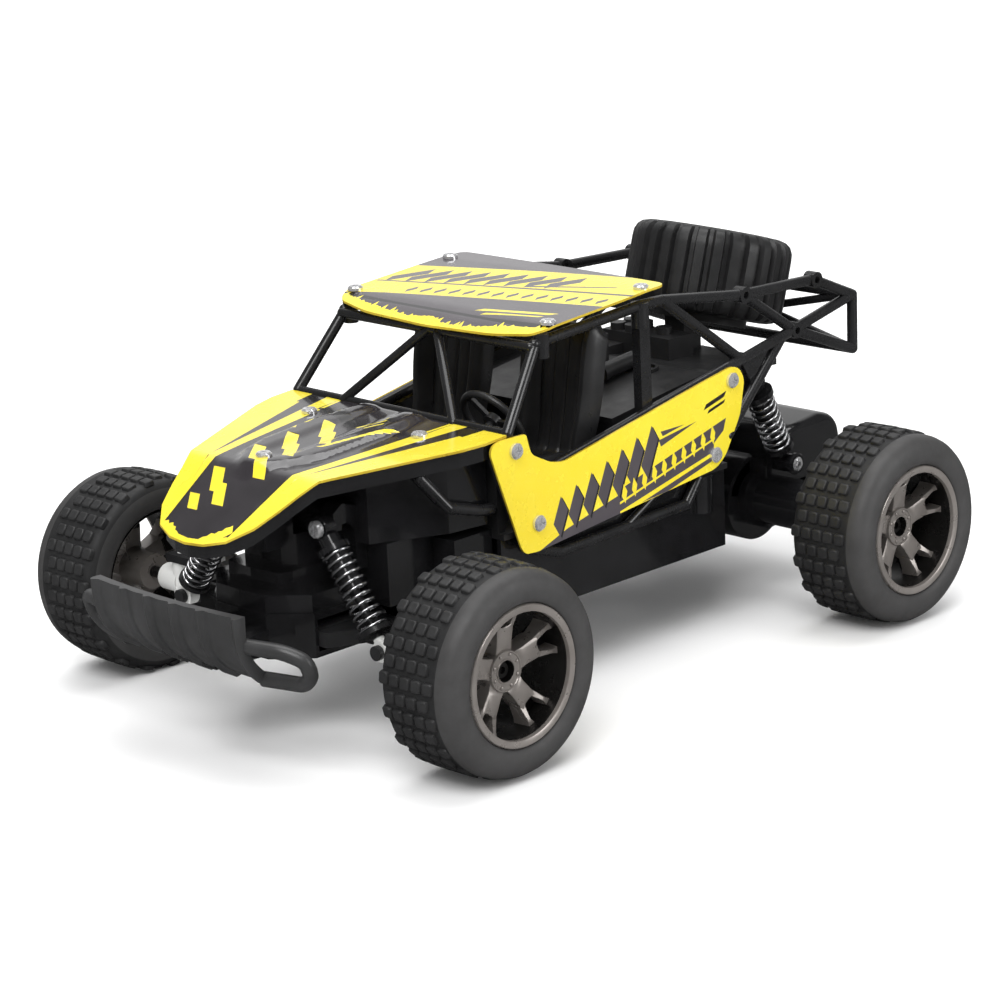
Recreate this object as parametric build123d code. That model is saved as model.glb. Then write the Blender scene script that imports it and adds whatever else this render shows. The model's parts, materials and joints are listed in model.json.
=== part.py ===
from build123d import *
import math
import os

# Toy radio-controlled buggy, millimetres.
# Front of the car faces -Y, its left side is +X, +Z is up.
# Origin: middle of the footprint on the ground.

# ---- driving dimensions ----
FRONT_Y = -87.5            # front axle line
REAR_Y = 107.5             # rear axle line
HUB_Z = 34.0               # wheel centre height, which is also the tyre radius
TYRE_R = 34.0
TYRE_IN = 70.0             # inboard face of every tyre
TYRE_OUT = 102.0           # outboard face of every tyre
BEAD_R = 22.8              # tyre bore on the rim barrel
HUB_FACE = 93.5            # outboard face of the wheel hub
HUB_R = 7.0
AXLE_R = 2.0
AXLE_END = 89.6            # where the bolt and shaft heads bear on the hubs
HEAD_R = 2.5
RUN = 0.06                 # radial running clearance
EYE_RUN = 0.12             # looser clearance in a shock's lower eye
PANEL_T = 0.8              # alloy sheet thickness
WALL = 1.8                 # moulded wall thickness

ARM_X = 20.0               # front arm hinge line, parallel to Y
KING_X = 60.0              # steering axis of each front wheel
RACK_Y = -74.0             # tie rod line behind the front axle
PIVOT_Y = 72.0             # rear axle unit pitches about this line
PIVOT_Z = 38.0

EYE_W = 4.0                # width of every shock eye
F_SHOCK_TOP = (22.2, -96.1, 69.4)
F_SHOCK_LOW = (48.0, -96.1, 33.6)
R_SHOCK_TOP = (41.0, 91.8, 81.2)
R_SHOCK_LOW = (41.0, 108.0, 48.9)
PIN_R = 1.5                # shock pins

GEAR_MODULE = 0.5
GEAR_TEETH = 50
PINION_TEETH = 12
BACKLASH = 0.08
MOTOR_Y = REAR_Y + 10.96   # motor shaft: one gear-centre distance (15.5) from the axle
MOTOR_Z = HUB_Z + 10.96

TUB_X = 48.0               # half width of the chassis tub
TUB_REAR = 67.0
TUB_TOP = 57.0
WALL_X = 51.8              # outer face of the cockpit side walls, where the door panels sit
FRAME_X = 43.0             # plane of each rear side frame
BAR_R = 1.9                # cage tube radius


# ---- small shape helpers ----
def box(x0, x1, y0, y1, z0, z1):
    return Pos((x0 + x1) / 2, (y0 + y1) / 2, (z0 + z1) / 2) * Box(x1 - x0, y1 - y0, z1 - z0)


def cyl(start, direction, radius, length):
    return Plane(origin=start, z_dir=direction) * Pos(0, 0, length / 2) * Cylinder(radius, length)


def prism_x(points, x0, x1):
    """Outline given as (y, z), extruded from x0 to x1."""
    face = make_face(Polyline(*points, close=True))
    return extrude(Plane.YZ.offset(x0) * face, x1 - x0)


def prism_y(points, y0, y1):
    """Outline given as (x, z), extruded from y0 to y1."""
    face = make_face(Polyline(*points, close=True))
    plane = Plane(origin=(0, y0, 0), x_dir=(1, 0, 0), z_dir=(0, -1, 0))
    return extrude(plane * face, y0 - y1)


def prism_z(points, z0, z1):
    """Outline given as (x, y), extruded from z0 to z1."""
    face = make_face(Polyline(*points, close=True))
    return extrude(Plane.XY.offset(z0) * face, z1 - z0)


def bar(start, end, radius=BAR_R):
    a, b = Vector(*start), Vector(*end)
    rod = cyl(start, b - a, radius, (b - a).length)
    return rod + Pos(a) * Sphere(radius) + Pos(b) * Sphere(radius)


def bars(points, radius=BAR_R):
    shape = bar(points[0], points[1], radius)
    for start, end in zip(points[1:-1], points[2:]):
        shape += bar(start, end, radius)
    return shape


def ring(center, outer, inner, width):
    """Short boss along X with a through hole."""
    x, y, z = center
    start = (x - width / 2, y, z)
    return cyl(start, (1, 0, 0), outer, width) - cyl(start, (1, 0, 0), inner, width)


def mirrored(shape):
    return mirror(shape, about=Plane.YZ)


def both(shape):
    return shape + mirrored(shape)


def revolved_about_axle(profile, axle_y):
    """Profile given as (x, radius), turned about an axle line along X."""
    face = make_face(Polyline(*profile, close=True))
    solid = revolve(Plane.XY * face, axis=Axis.X)
    return Pos(0, axle_y, HUB_Z) * solid


def node(name, shape):
    export_step(shape, os.path.join("parts", name + ".step"))


# ---- wheels ----
def tyre(axle_y):
    bead, wall, tread = BEAD_R, 28.6, TYRE_R
    profile = [
        (TYRE_IN + 1.0, bead), (TYRE_OUT - 1.0, bead), (TYRE_OUT - 0.2, 25.4), (TYRE_OUT, wall),
        (TYRE_OUT - 0.8, 31.4), (TYRE_OUT - 2.8, 33.2), (TYRE_OUT - 6.0, tread), (TYRE_IN + 5.0, tread),
        (TYRE_IN + 2.0, 33.0), (TYRE_IN + 0.4, 31.0), (TYRE_IN, wall), (TYRE_IN + 0.2, 25.4),
    ]
    return revolved_about_axle(profile, axle_y)


def spoke_blank(axle_y):
    """One wide spoke, forked where it meets the barrel."""
    outline = [(-3.2, 4.0), (3.2, 4.0), (4.0, 12.0), (6.6, 21.6), (2.2, 21.6), (0, 17.0), (-2.2, 21.6),
               (-6.6, 21.6), (-4.0, 12.0)]
    shelf = [(-2.6, 16.0), (2.6, 16.0), (2.6, 21.6), (-2.6, 21.6)]
    arms = prism_x(outline, TYRE_OUT - 16, TYRE_OUT - 2)
    return Pos(0, axle_y, HUB_Z) * (arms + prism_x(shelf, TYRE_OUT - 16, TYRE_OUT - 9.5))


def rim_barrel(axle_y):
    seat_r = BEAD_R - 0.05
    profile = [
        (TYRE_IN + 1.0, seat_r), (TYRE_OUT - 1.4, seat_r), (TYRE_OUT - 1.0, 22.2), (TYRE_OUT - 1.4, 21.4),
        (TYRE_OUT - 2.6, 21.1), (TYRE_OUT - 10.0, 20.9), (TYRE_IN + 3.6, 21.6), (TYRE_IN + 1.0, 21.8),
    ]
    return revolved_about_axle(profile, axle_y)


def rim(axle_y):
    axis = Axis((0, axle_y, HUB_Z), (1, 0, 0))
    dish_profile = [(TYRE_OUT - 15, 3.0), (HUB_FACE - 0.9, 3.0), (HUB_FACE - 0.6, HUB_R),
                    (TYRE_OUT - 4.0, 21.2), (TYRE_OUT - 11.5, 21.2)]
    dish = revolved_about_axle(dish_profile, axle_y)
    blank = spoke_blank(axle_y)
    spokes = Part() + [blank.rotate(axis, 72 * i + 18) for i in range(5)]
    hub = cyl((76, axle_y, HUB_Z), (1, 0, 0), HUB_R, HUB_FACE - 76)
    wheel = rim_barrel(axle_y) + (spokes & dish) + hub
    wheel -= cyl((75, axle_y, HUB_Z), (1, 0, 0), AXLE_R + RUN, 20)
    wheel -= cyl((AXLE_END - 0.1, axle_y, HUB_Z), (1, 0, 0), HEAD_R + 0.9, 5)
    rivet = cyl((HUB_FACE - 0.2, axle_y, HUB_Z + 5.2), (1, 0, 0), 0.65, 0.7)
    for i in range(8):
        wheel += rivet.rotate(axis, 45 * i)
    return wheel


def axle_head(axle_y):
    """Round head with a hex socket that holds a wheel on."""
    head = cyl((AXLE_END, axle_y, HUB_Z), (1, 0, 0), HEAD_R, 2.0)
    return head - hex_socket((AXLE_END + 0.8, axle_y, HUB_Z))


def wheel_bolt():
    """Shoulder bolt: the front wheel turns on it and it screws into the knuckle."""
    start = (59.0, FRONT_Y, HUB_Z)
    return cyl(start, (1, 0, 0), AXLE_R, AXLE_END - 59.0) + axle_head(FRONT_Y)


def hex_socket(start):
    return Plane(origin=start, z_dir=(1, 0, 0)) * extrude(RegularPolygon(1.3, 6), 3)


# ---- front suspension and steering ----
def knuckle():
    block = cyl((KING_X, FRONT_Y, 27), (0, 0, 1), 4.0, 14)
    pegs = cyl((KING_X, FRONT_Y, 24.2), (0, 0, 1), 2.0, 19.6)
    boss = cyl((KING_X, FRONT_Y, HUB_Z), (1, 0, 0), 4.6, 9.0)
    lever = box(57.4, 62.6, FRONT_Y, -71.6, 37.5, 40.5)
    slot = cyl((KING_X, RACK_Y - 0.2, 37), (0, 0, 1), 1.08, 4) + cyl((KING_X, -73.2, 37), (0, 0, 1), 1.08, 4)
    slot += box(KING_X - 1.08, KING_X + 1.08, RACK_Y - 0.2, -73.2, 37, 41)
    bolt_hole = cyl((59.0, FRONT_Y, HUB_Z), (1, 0, 0), AXLE_R, 20)
    return block + pegs + boss + lever - slot - bolt_hole


def front_arm():
    barrel = cyl((ARM_X, -102.0, HUB_Z), (0, 1, 0), 3.5, 18.0)
    plan = [(ARM_X, -102), (27, -102), (33, -90.2), (54, -90.2), (54, -82), (50, -82), (ARM_X, -84)]
    plate = prism_z(plan, 31.5, 36.5) - prism_z([(31, -88.4), (46, -88.4), (46, -84.8), (31, -86)], 31, 37)
    stay = bar((24, -93, HUB_Z), (50, -87.5, HUB_Z), 1.6)
    web = box(50, 54, -92, -83, 24, 44)
    ears = box(50, 64, -92, -83, 41.3, 44) + box(50, 64, -92, -83, 24, 26.7)
    ears -= cyl((KING_X, FRONT_Y, 24), (0, 0, 1), 2.0 + RUN, 20)
    x, y, z = F_SHOCK_LOW
    shock_boss = box(x - 3.0, x + 3.5, y + 2.5, -88, z - 3.0, z + 2.4)
    shock_peg = cyl((x, y - 4.2, z), (0, 1, 0), PIN_R, 8.0) + cyl((x, y - 4.2, z), (0, 1, 0), 2.4, 1.8)
    arm = barrel + plate + stay + web + ears + shock_boss + shock_peg
    return arm - cyl((ARM_X, -103, HUB_Z), (0, 1, 0), 1.0 + RUN, 20)


def tie_rod():
    eye = cyl((ARM_X, -76.0, HUB_Z), (0, 1, 0), 3.0, 4.0)
    rod = cyl((ARM_X, RACK_Y, HUB_Z), (1, 0, 0), 1.5, KING_X - ARM_X)
    end = cyl((KING_X, RACK_Y, HUB_Z - 1.8), (0, 0, 1), 2.4, 3.6)
    peg = cyl((KING_X, RACK_Y, HUB_Z), (0, 0, 1), 1.0, 8.0)
    return eye + rod + end + peg - cyl((ARM_X, -77, HUB_Z), (0, 1, 0), 1.2 + RUN, 6)


def steering_rack():
    beam = box(-24, 24, -80.0, -76.6, 31, 37)
    tongue = box(-5, 5, -80.0, -69.5, 34.5, 37) - box(-1.1, 1.1, -76.9, -69, 34, 38)
    pins = both(cyl((ARM_X, -77, HUB_Z), (0, 1, 0), 1.2, 5.6))
    caps = both(cyl((ARM_X, -71.6, HUB_Z), (0, 1, 0), 2.0, 0.8))
    return beam + tongue + pins + caps


def servo_horn():
    hub = cyl((0, -66, 37.6), (0, 0, 1), 3.2, 3.4)
    lever = box(-2.2, 2.2, -77.0, -66, 37.6, 39.6)
    peg = cyl((0, -75, 34.8), (0, 0, 1), 1.0, 3.2)
    return hub + lever + peg


def steering_servo():
    case = box(-10, 10, -75, -50, 43.2, 58)
    spindle = cyl((0, -66, 41.0), (0, 0, 1), 2.4, 3.0)
    flange = box(-10, 10, -78, -47, 53, 54.6)
    return case + spindle + flange


HOUSING_PLAN = [(24, -80.3), (24, -103.6), (19.5, -108.0), (12.5, -114.0), (0, -114.6)]


def front_bulkhead():
    """Front gearbox-like housing that carries the arms, the bumper and the shock brackets."""
    lower = prism_z(plan_outline(HOUSING_PLAN), 28, 43)
    upper = prism_z(plan_outline(HOUSING_PLAN, 0.6), 43, 49)
    shoulder = prism_z(plan_outline([(14, -80.3), (14, -103), (12, -107.6), (0, -108.6)]), 49, 55)
    neck = prism_z(plan_outline([(12, -80.3), (12, -99), (9, -103), (0, -103.6)]), 55, 66)
    body = lower + upper + shoulder + neck + shock_brackets() + bumper_arm()
    body -= both(box(15.5, 26, -102.4, -83.6, 29.9, 40.5))
    body -= box(-9, 9, -98, -79, 30, 58)
    body -= both(cyl((ARM_X, -106.5, HUB_Z), (0, 1, 0), 1.0, 30))
    x, y, z = F_SHOCK_TOP
    return body - both(cyl((x, y + 2.0, z), (0, 1, 0), PIN_R, 3.8))


def shock_brackets():
    """C-shaped brackets that hang the front shocks, joined by a cross plate over the neck."""
    x, y, z = F_SHOCK_TOP
    side = [(-93.9, 67.6), (-93.9, 73.6), (-90, 76.2), (-84, 74.4), (-80.6, 69), (-80.3, 53), (-84.5, 53),
            (-85.2, 66.4), (-88, 69.6), (-90.4, 69.4), (-90.6, 67.6)]
    bracket = prism_x(side, x - 4.5, x + 2.5)
    washer = cyl((x, y + 2.1, z), (0, 1, 0), 2.6, 1.4)
    foot = box(11, x + 2.5, -84.5, -80.3, 53, 60)
    cross = [(-18, 66), (18, 66), (18, 73.6), (12, 75.6), (-12, 75.6), (-18, 73.6)]
    return both(bracket + washer + foot) + prism_y(cross, -93.9, -90.5)


def bumper_arm():
    keel = prism_x([(-113, 29.5), (-136, 30.5), (-141, 44), (-139, 46), (-133, 36.5), (-113, 38)], -13, 13)
    ribs = Part() + [box(x - 0.8, x + 0.8, -134, -113, 36, 38.6) for x in (-10, -3.3, 3.3, 10)]
    return keel + ribs


def hinge_pins():
    front = both(cyl((ARM_X, -106.4, HUB_Z), (0, 1, 0), 1.0, 26.0))
    rear = cyl((-27, PIVOT_Y, PIVOT_Z), (1, 0, 0), PIN_R, 54)
    return front + rear


# ---- shocks: built along the line from the top pin to the lower pin ----
def shock_plane(top, low):
    return Plane(origin=top, z_dir=Vector(*low) - Vector(*top))


def shock_length(top, low):
    return (Vector(*low) - Vector(*top)).length


def shock_eye(center, pin_axis, radius, width):
    c, a = Vector(*center), Vector(*pin_axis)
    return cyl(c - a * (width / 2), pin_axis, radius, width)


def shock_body(top, low, pin_axis, tube_end, collar):
    plane = shock_plane(top, low)
    eye = shock_eye(top, pin_axis, 3.9, EYE_W)
    neck = plane * Pos(0, 0, 2.0) * Cylinder(1.9, 4.0)
    tube = plane * Pos(0, 0, (3.6 + tube_end) / 2) * Cylinder(3.7, tube_end - 3.6)
    flange = plane * Pos(0, 0, collar - 1.0) * Cylinder(5.5, 2.0)
    bore_start = collar - 2.6
    bore = plane * Pos(0, 0, (bore_start + tube_end) / 2) * Cylinder(PIN_R + RUN, tube_end - bore_start)
    hole = shock_eye(top, pin_axis, PIN_R + RUN, 6)
    return eye + neck + tube + flange - bore - hole


def shock_rod(top, low, pin_axis, rod_start, perch):
    plane = shock_plane(top, low)
    length = shock_length(top, low)
    eye = shock_eye(low, pin_axis, 3.5, EYE_W)
    rod = plane * Pos(0, 0, (rod_start + length) / 2) * Cylinder(1.5, length - rod_start)
    seat = plane * Pos(0, 0, perch + 0.8) * Cylinder(5.5, 1.6)
    neck = plane * Pos(0, 0, (perch + length) / 2) * Cylinder(1.9, length - perch)
    return eye + rod + seat + neck - shock_eye(low, pin_axis, PIN_R + EYE_RUN, 6)


def shock_spring(top, low, collar, perch, turns):
    wire, mean = 0.5, 4.6
    height = perch - collar - 2 * wire - 0.1
    path = Helix(pitch=height / turns, height=height, radius=mean)
    wire_face = Plane(origin=path @ 0, z_dir=path % 0) * Circle(wire)
    coil = sweep(wire_face, path=path)
    return shock_plane(top, low) * Pos(0, 0, collar + wire + 0.05) * coil


def shock_screws():
    x, y, z = F_SHOCK_TOP
    front = cyl((x, y - 2.4, z), (0, 1, 0), PIN_R, 8.0) + pan_head((x, y - 2.4, z), (0, -1, 0), 2.9, 1.9)
    x, y, z = R_SHOCK_TOP
    rear = cyl((x - 5.0, y, z), (1, 0, 0), PIN_R, 7.0)
    return both(front + rear)


def pan_head(start, direction, radius, height=1.5):
    head = cyl(start, direction, radius, height)
    head = chamfer(head.faces().sort_by(Axis(start, direction))[-1].edges(), 0.6)
    slot_plane = Plane(origin=Vector(*start) + Vector(*direction) * (height - 0.6), z_dir=direction)
    slots = slot_plane * Pos(0, 0, 1) * (Box(0.6, 2.2 * radius / 2, 2) + Box(2.2 * radius / 2, 0.6, 2))
    return head - slots


# ---- rear axle unit ----
HUMP = [(104, 24), (141, 27), (145.5, 32), (146.4, 50), (145, 55), (141.5, 58.6), (136, 60.4),
        (116, 58.4), (104, 50)]
HUMP_HOLLOW = [(105.6, 25.8), (140.2, 28.6), (143.9, 32.6), (144.8, 49.7), (143.6, 54.2), (140.8, 57.1),
               (135.9, 58.7), (116.5, 56.8), (105.6, 49.1)]
HUMP_X = 36.4
COVER_Z = 37.0             # parting line of the hump
DRUM_R = 16.0
DRUM_X = 28.0
AXLE_TUBE_R = 9.0


def axle_cavity():
    drum = cyl((-DRUM_X + WALL, REAR_Y, HUB_Z), (1, 0, 0), DRUM_R - WALL, 2 * (DRUM_X - WALL))
    hump = prism_x(HUMP_HOLLOW, -HUMP_X + WALL, HUMP_X - WALL)
    return drum + hump


def rear_shock_mount():
    """Block on the axle tube with the lower shock pin."""
    x, y, z = R_SHOCK_LOW
    block = box(HUMP_X, x - 2.3, y - 4.5, y + 4, 36, z + 3.2)
    pin = cyl((x - 3, y, z), (1, 0, 0), PIN_R, 6.2)
    return block + pin + cyl((x + 2.3, y, z), (1, 0, 0), 3.4, 2.4) + pan_head((x + 4.7, y, z), (1, 0, 0), 4.0)


def axle_housing():
    drum = cyl((-DRUM_X, REAR_Y, HUB_Z), (1, 0, 0), DRUM_R, 2 * DRUM_X)
    tube = cyl((-66, REAR_Y, HUB_Z), (1, 0, 0), AXLE_TUBE_R, 132)
    collars = both(cyl((DRUM_X, REAR_Y, HUB_Z), (1, 0, 0), AXLE_TUBE_R + 1.6, 3))
    tray = prism_x(HUMP, -HUMP_X, HUMP_X) & box(-60, 60, 90, 150, 0, COVER_Z)
    arm_side = [(PIVOT_Y, 33.5), (94, 29), (94, 41), (PIVOT_Y, 42.5)]
    arm = prism_x(arm_side, 17.0, 21.8) + cyl((17.0, PIVOT_Y, PIVOT_Z), (1, 0, 0), 4.5, 4.8)
    saddle = box(2, 24, 112, 132, 26, MOTOR_Z)
    saddle -= cyl((0, MOTOR_Y, MOTOR_Z), (1, 0, 0), 10.05, 30)
    saddle &= prism_x(HUMP_HOLLOW, -HUMP_X, HUMP_X)
    shell = drum + tube + collars + tray - axle_cavity()
    shell += saddle + both(arm)
    shell -= box(-60, 60, 104.0, 150, COVER_Z, 70)
    shell += both(cyl((HUMP_X, REAR_Y, HUB_Z), (1, 0, 0), AXLE_TUBE_R, 66 - HUMP_X) + rear_shock_mount())
    shell -= both(cyl((16, PIVOT_Y, PIVOT_Z), (1, 0, 0), PIN_R + RUN, 7))
    return shell - cyl((-67, REAR_Y, HUB_Z), (1, 0, 0), AXLE_R + RUN, 134)


def motor_cover():
    hump = prism_x(HUMP, -HUMP_X, HUMP_X)
    drum = cyl((-DRUM_X, REAR_Y, HUB_Z), (1, 0, 0), DRUM_R, 2 * DRUM_X)
    tube = cyl((-HUMP_X, REAR_Y, HUB_Z), (1, 0, 0), AXLE_TUBE_R, 2 * HUMP_X)
    shell = hump + drum + tube - axle_cavity()
    return shell & box(-60, 60, 104.0, 150, COVER_Z, 80)


def drive_motor():
    can = cyl((0, MOTOR_Y, MOTOR_Z), (1, 0, 0), 10.0, 25.0) & box(-1, 26, 90, 140, MOTOR_Z - 8, MOTOR_Z + 8)
    nose = cyl((-1.5, MOTOR_Y, MOTOR_Z), (1, 0, 0), 3.0, 1.5)
    tail = cyl((25, MOTOR_Y, MOTOR_Z), (1, 0, 0), 3.0, 2.0)
    return can + nose + tail - cyl((-2, MOTOR_Y, MOTOR_Z), (1, 0, 0), 0.75 + RUN, 22)


def involute(radius, base_r):
    """Involute angle of a point at this radius on a flank."""
    return math.sqrt(max((radius / base_r) ** 2 - 1, 0)) - math.acos(min(base_r / radius, 1.0))


def gear_outline(teeth, backlash):
    """Involute spur gear outline, module GEAR_MODULE, 20 degree pressure angle."""
    pitch_r = GEAR_MODULE * teeth / 2
    base_r = pitch_r * math.cos(math.radians(20))
    tip_r = pitch_r + GEAR_MODULE * 0.85
    root_r = pitch_r - GEAR_MODULE * 1.25
    half = math.pi / (2 * teeth) - backlash / (2 * pitch_r) + involute(pitch_r, base_r)
    radii = [max(base_r, root_r) + (tip_r - max(base_r, root_r)) * k / 3 for k in range(4)]
    points = []
    for tooth in range(teeth):
        middle = 2 * math.pi * tooth / teeth
        flank = [(r, half - involute(r, base_r)) for r in radii]
        side = [(root_r, flank[0][1])] + flank if root_r < base_r else flank
        rising = [(r, middle - a) for r, a in side]
        falling = [(r, middle + a) for r, a in reversed(side)]
        points += [(r * math.cos(a), r * math.sin(a)) for r, a in rising + falling]
    return points


def spur_gear(teeth, x0, x1, axle_y, axle_z, phase_deg):
    blank = prism_x(gear_outline(teeth, BACKLASH), x0, x1)
    return Pos(0, axle_y, axle_z) * blank.rotate(Axis.X, phase_deg)


def axle_gear():
    gear = spur_gear(GEAR_TEETH, -12, -7, REAR_Y, HUB_Z, 45)
    hub = cyl((-14, REAR_Y, HUB_Z), (1, 0, 0), 4.5, 9)
    return gear + hub - cyl((-15, REAR_Y, HUB_Z), (1, 0, 0), AXLE_R, 12)


def motor_pinion():
    half_tooth = 180 / PINION_TEETH
    gear = spur_gear(PINION_TEETH, -12.5, -6.5, MOTOR_Y, MOTOR_Z, 225 + half_tooth)
    shaft = cyl((-13, MOTOR_Y, MOTOR_Z), (1, 0, 0), 0.75, 31)
    return gear + shaft


def rear_shaft():
    shaft = cyl((-AXLE_END, REAR_Y, HUB_Z), (1, 0, 0), AXLE_R, 2 * AXLE_END)
    return shaft + both(axle_head(REAR_Y))


# ---- chassis ----
def chassis_tub():
    pan = box(-TUB_X, TUB_X, -43, TUB_REAR, 29, TUB_TOP)
    step = box(-44, 44, -60, -43, 29, 60) + box(-34, 34, -80.1, -60, 41, 62)
    skid = box(-24, 24, -80.2, -60, 28, 30)
    hollow = box(-TUB_X + WALL, TUB_X - WALL, -58, TUB_REAR - WALL, 31, TUB_TOP + 1)
    hollow &= box(-42, 42, -58, -43, 31, 58.2) + box(-60, 60, -43, 80, 31, 60)
    hollow += box(-32, 32, -78.3, -58, 41, 60.2)
    passage = box(-31, 31, -81, -60, 30, 41)
    boss = both(cyl((47.0, 55.0, 44), (0, 0, 1), 4.6, 13.0))
    posts = both(cyl((40, -36, 31), (0, 0, 1), 3, 26) + cyl((40, 60, 31), (0, 0, 1), 3, 26))
    ears = both(pivot_ear(13.0, 16.6) + pivot_ear(22.2, 25.8))
    tub = pan + step + skid + boss - hollow - passage + posts + ears
    hatch = box(-22, 22, -24, 38, 28, 31.5)
    slot = box(29, 35, -30, -14, 28, 31.5)
    tub -= hatch + slot
    tub -= cyl((-27, PIVOT_Y, PIVOT_Z), (1, 0, 0), PIN_R, 54)
    return tub


def pivot_ear(x0, x1):
    outline = [(TUB_REAR - 1, 31), (76, 33.5), (77, 38), (76, 42.5), (TUB_REAR - 1, 48)]
    return prism_x(outline, x0, x1)


def battery_cover():
    plate = box(-21.8, 21.8, -23.8, 37.8, 29.2, 31)
    ribs = Part() + [box(-16, 16, y, y + 1.2, 28.8, 29.2) for y in range(-18, 35, 6)]
    return plate + ribs


def battery_pack():
    cells = [cyl((x, -20, 38.2), (0, 1, 0), 7.1, 50) for x in (-14.4, 0, 14.4)]
    return Part() + cells + box(-14.4, 14.4, -20, 30, 31.1, 34)


def power_switch():
    return box(29.4, 34.6, -24.0, -20.0, 28.4, 33) + box(28.2, 35.8, -26.0, -18.0, 31.6, 33)


# ---- cockpit moulding ----
def belt_z(y):
    """Height of the sloping belt line that the deck and the door tops follow."""
    return 76.0 + (y + 21.5) * 0.1893


def cockpit_wall():
    outline = [(-47.5, 88.6), (-48.6, 84.6), (-36.5, 53.6), (-31, 52.4), (57.4, 61), (62, 66), (70, 78),
               (71.6, belt_z(71.6) - 3), (-14, belt_z(-14) - 3), (-18, 76.6), (-24, 78.4), (-32, 82.4),
               (-34.6, 88.6)]
    return prism_x(outline, 49.6, WALL_X)


def cockpit_body():
    floor = box(-49.6, 49.6, -43, TUB_REAR, TUB_TOP, TUB_TOP + 2)
    seat_wall = box(-47, 47, 22, 24, TUB_TOP + 2, 80)
    tail_wall = box(-47, 47, TUB_REAR - 2, TUB_REAR, TUB_TOP + 2, 84)
    tunnel = box(-7, 7, -36, 22, TUB_TOP + 2, 66)
    body = floor + seat_wall + tail_wall + tunnel + engine_deck() + spare_mount()
    body += both(cockpit_wall() + rear_shock_ear())
    x, y, z = R_SHOCK_TOP
    return body - both(cyl((x - 6.4, y, z), (1, 0, 0), PIN_R, 4.4))


def rear_shock_ear():
    """Ear under the deck that carries the top pin of a rear shock, and the rail it hangs from."""
    x, y, z = R_SHOCK_TOP
    outline = [(y - 3.2, z), (y + 3.2, z + 1.5), (y + 6, 86), (y - 6, 86)]
    boss = cyl((x - 5.9, y, z), (1, 0, 0), 3.2, 3.7)
    return prism_x(outline, x - 5.9, x - 2.2) + boss + box(32.4, x - 5.9, TUB_REAR, 98, 72, 86)


DECK_TOP = [(22, 82.4), (50, 86.2), (70, 88.6), (77, 87.4), (108, 86.4)]
DECK_X = 38.0              # half width of the raised middle of the deck


def deck_sheet(points, drop, half_width):
    under = [(y, z - 2.2) for y, z in reversed(points)]
    return Pos(0, 0, -drop) * prism_x(points + under, -half_width, half_width)


def engine_deck():
    """Engine deck behind the seats: raised in the middle, with a lower ledge along each wall."""
    ledge = deck_sheet(DECK_TOP[:3], 3.0, 49.6)
    raised = deck_sheet(DECK_TOP, 0, DECK_X)
    skirts = both(prism_x([(22, 79), (70, 85.4), (70, 88.6), (50, 86.2), (22, 82.4)], DECK_X - 2, DECK_X))
    return ledge + raised + skirts


def spare_mount():
    """Column, tilted flange and hub that carry the spare tyre."""
    column = box(-4.6, 4.6, 96.5, 105.5, 85, 99)
    below = SPARE_W / 2
    disc = Pos(0, 0, -below - 1.3) * Cylinder(17, 2.6)
    hub = Pos(0, 0, -below + 4) * Cylinder(13.8, 8.2)
    return column + Pos(*SPARE_CENTER) * Rot(-SPARE_TILT, 0, 0) * (disc + hub)


def dashboard():
    outline = [(-43, TUB_TOP + 2), (-40, TUB_TOP + 2), (-30, 78), (-29, 86), (-34, 90), (-43, 90)]
    dash = prism_x(outline, -47, 47)
    pods = Part() + [cyl((x, -30.6, 86), (0, 1, -0.3), 4.2, 3.4) for x in (20, 32)]
    column = bar((26, -31, 84), (26, -24, 88), 1.5)
    return dash + pods + column + steering_wheel()


def steering_wheel():
    plane = Plane(origin=(26, -22.5, 89), z_dir=(0, 0.86, 0.5))
    hoop = plane * Torus(12.0, 1.3)
    hub = plane * Cylinder(3.2, 2.4)
    spokes = Part() + [plane * Rot(0, 0, 120 * i + 90) * Pos(6, 0, 0) * Box(12, 2.4, 1.2) for i in range(3)]
    return hoop + hub + spokes


def seat(x):
    base = box(x - 17, x + 17, -20, 12, TUB_TOP + 2.0, 72)
    base = fillet(base.edges().filter_by(Axis.Z), 5)
    bolsters = box(x - 17, x - 12, -16, 8, 70, 77) + box(x + 12, x + 17, -16, 8, 70, 77)
    back_side = [(5, 68), (17, 68), (20.5, 98), (19.5, 112), (14, 115), (10.5, 112), (7, 90)]
    back = prism_x(back_side, x - 16, x + 16)
    return base + bolsters + back


def engine_dummy():
    """Moulded engine detail on the deck."""
    block = box(-24, -4, 50, 66, 84, 98)
    link = box(-20, -10, 66, 80, 86.5, 91)
    gearbox = box(-20, 12, 80, 93, 86, 95)
    can = cyl((9.7, 47.8, 89.3), (0, 1, 0.1), 3.0, 16) + cyl((9.7, 46.6, 89.2), (0, 1, 0.1), 3.4, 2.2)
    filler = cyl((16, 64, 86), (0, -0.11, 1), 4.3, 3.0) - cyl((16, 64, 86), (0, -0.11, 1), 3.2, 4.0)
    spots = ((-15, 83), (-8, 83), (-15, 90), (-8, 90), (4, 86.5))
    caps = Part() + [cyl((x, y, 94), (0, 0, 1), 2.8, 3.6) for x, y in spots]
    return block + link + gearbox + can + filler + caps - engine_deck()


# ---- bodywork ----
def hood_z(y):
    """Side profile of the hood: a shallow rear sheet and a steep nose sheet."""
    if y > -104.6:
        return 87.2 + (y + 104.6) * 0.072
    return 87.2 + (y + 104.6) * 0.6


HOOD_PLAN = [(51.6, -42), (51.6, -51.4), (49.6, -60), (31, -104.6), (28.2, -111), (25.8, -117.5),
             (22.4, -124.8), (16, -131.2), (8.2, -134), (0, -134.8)]


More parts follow.
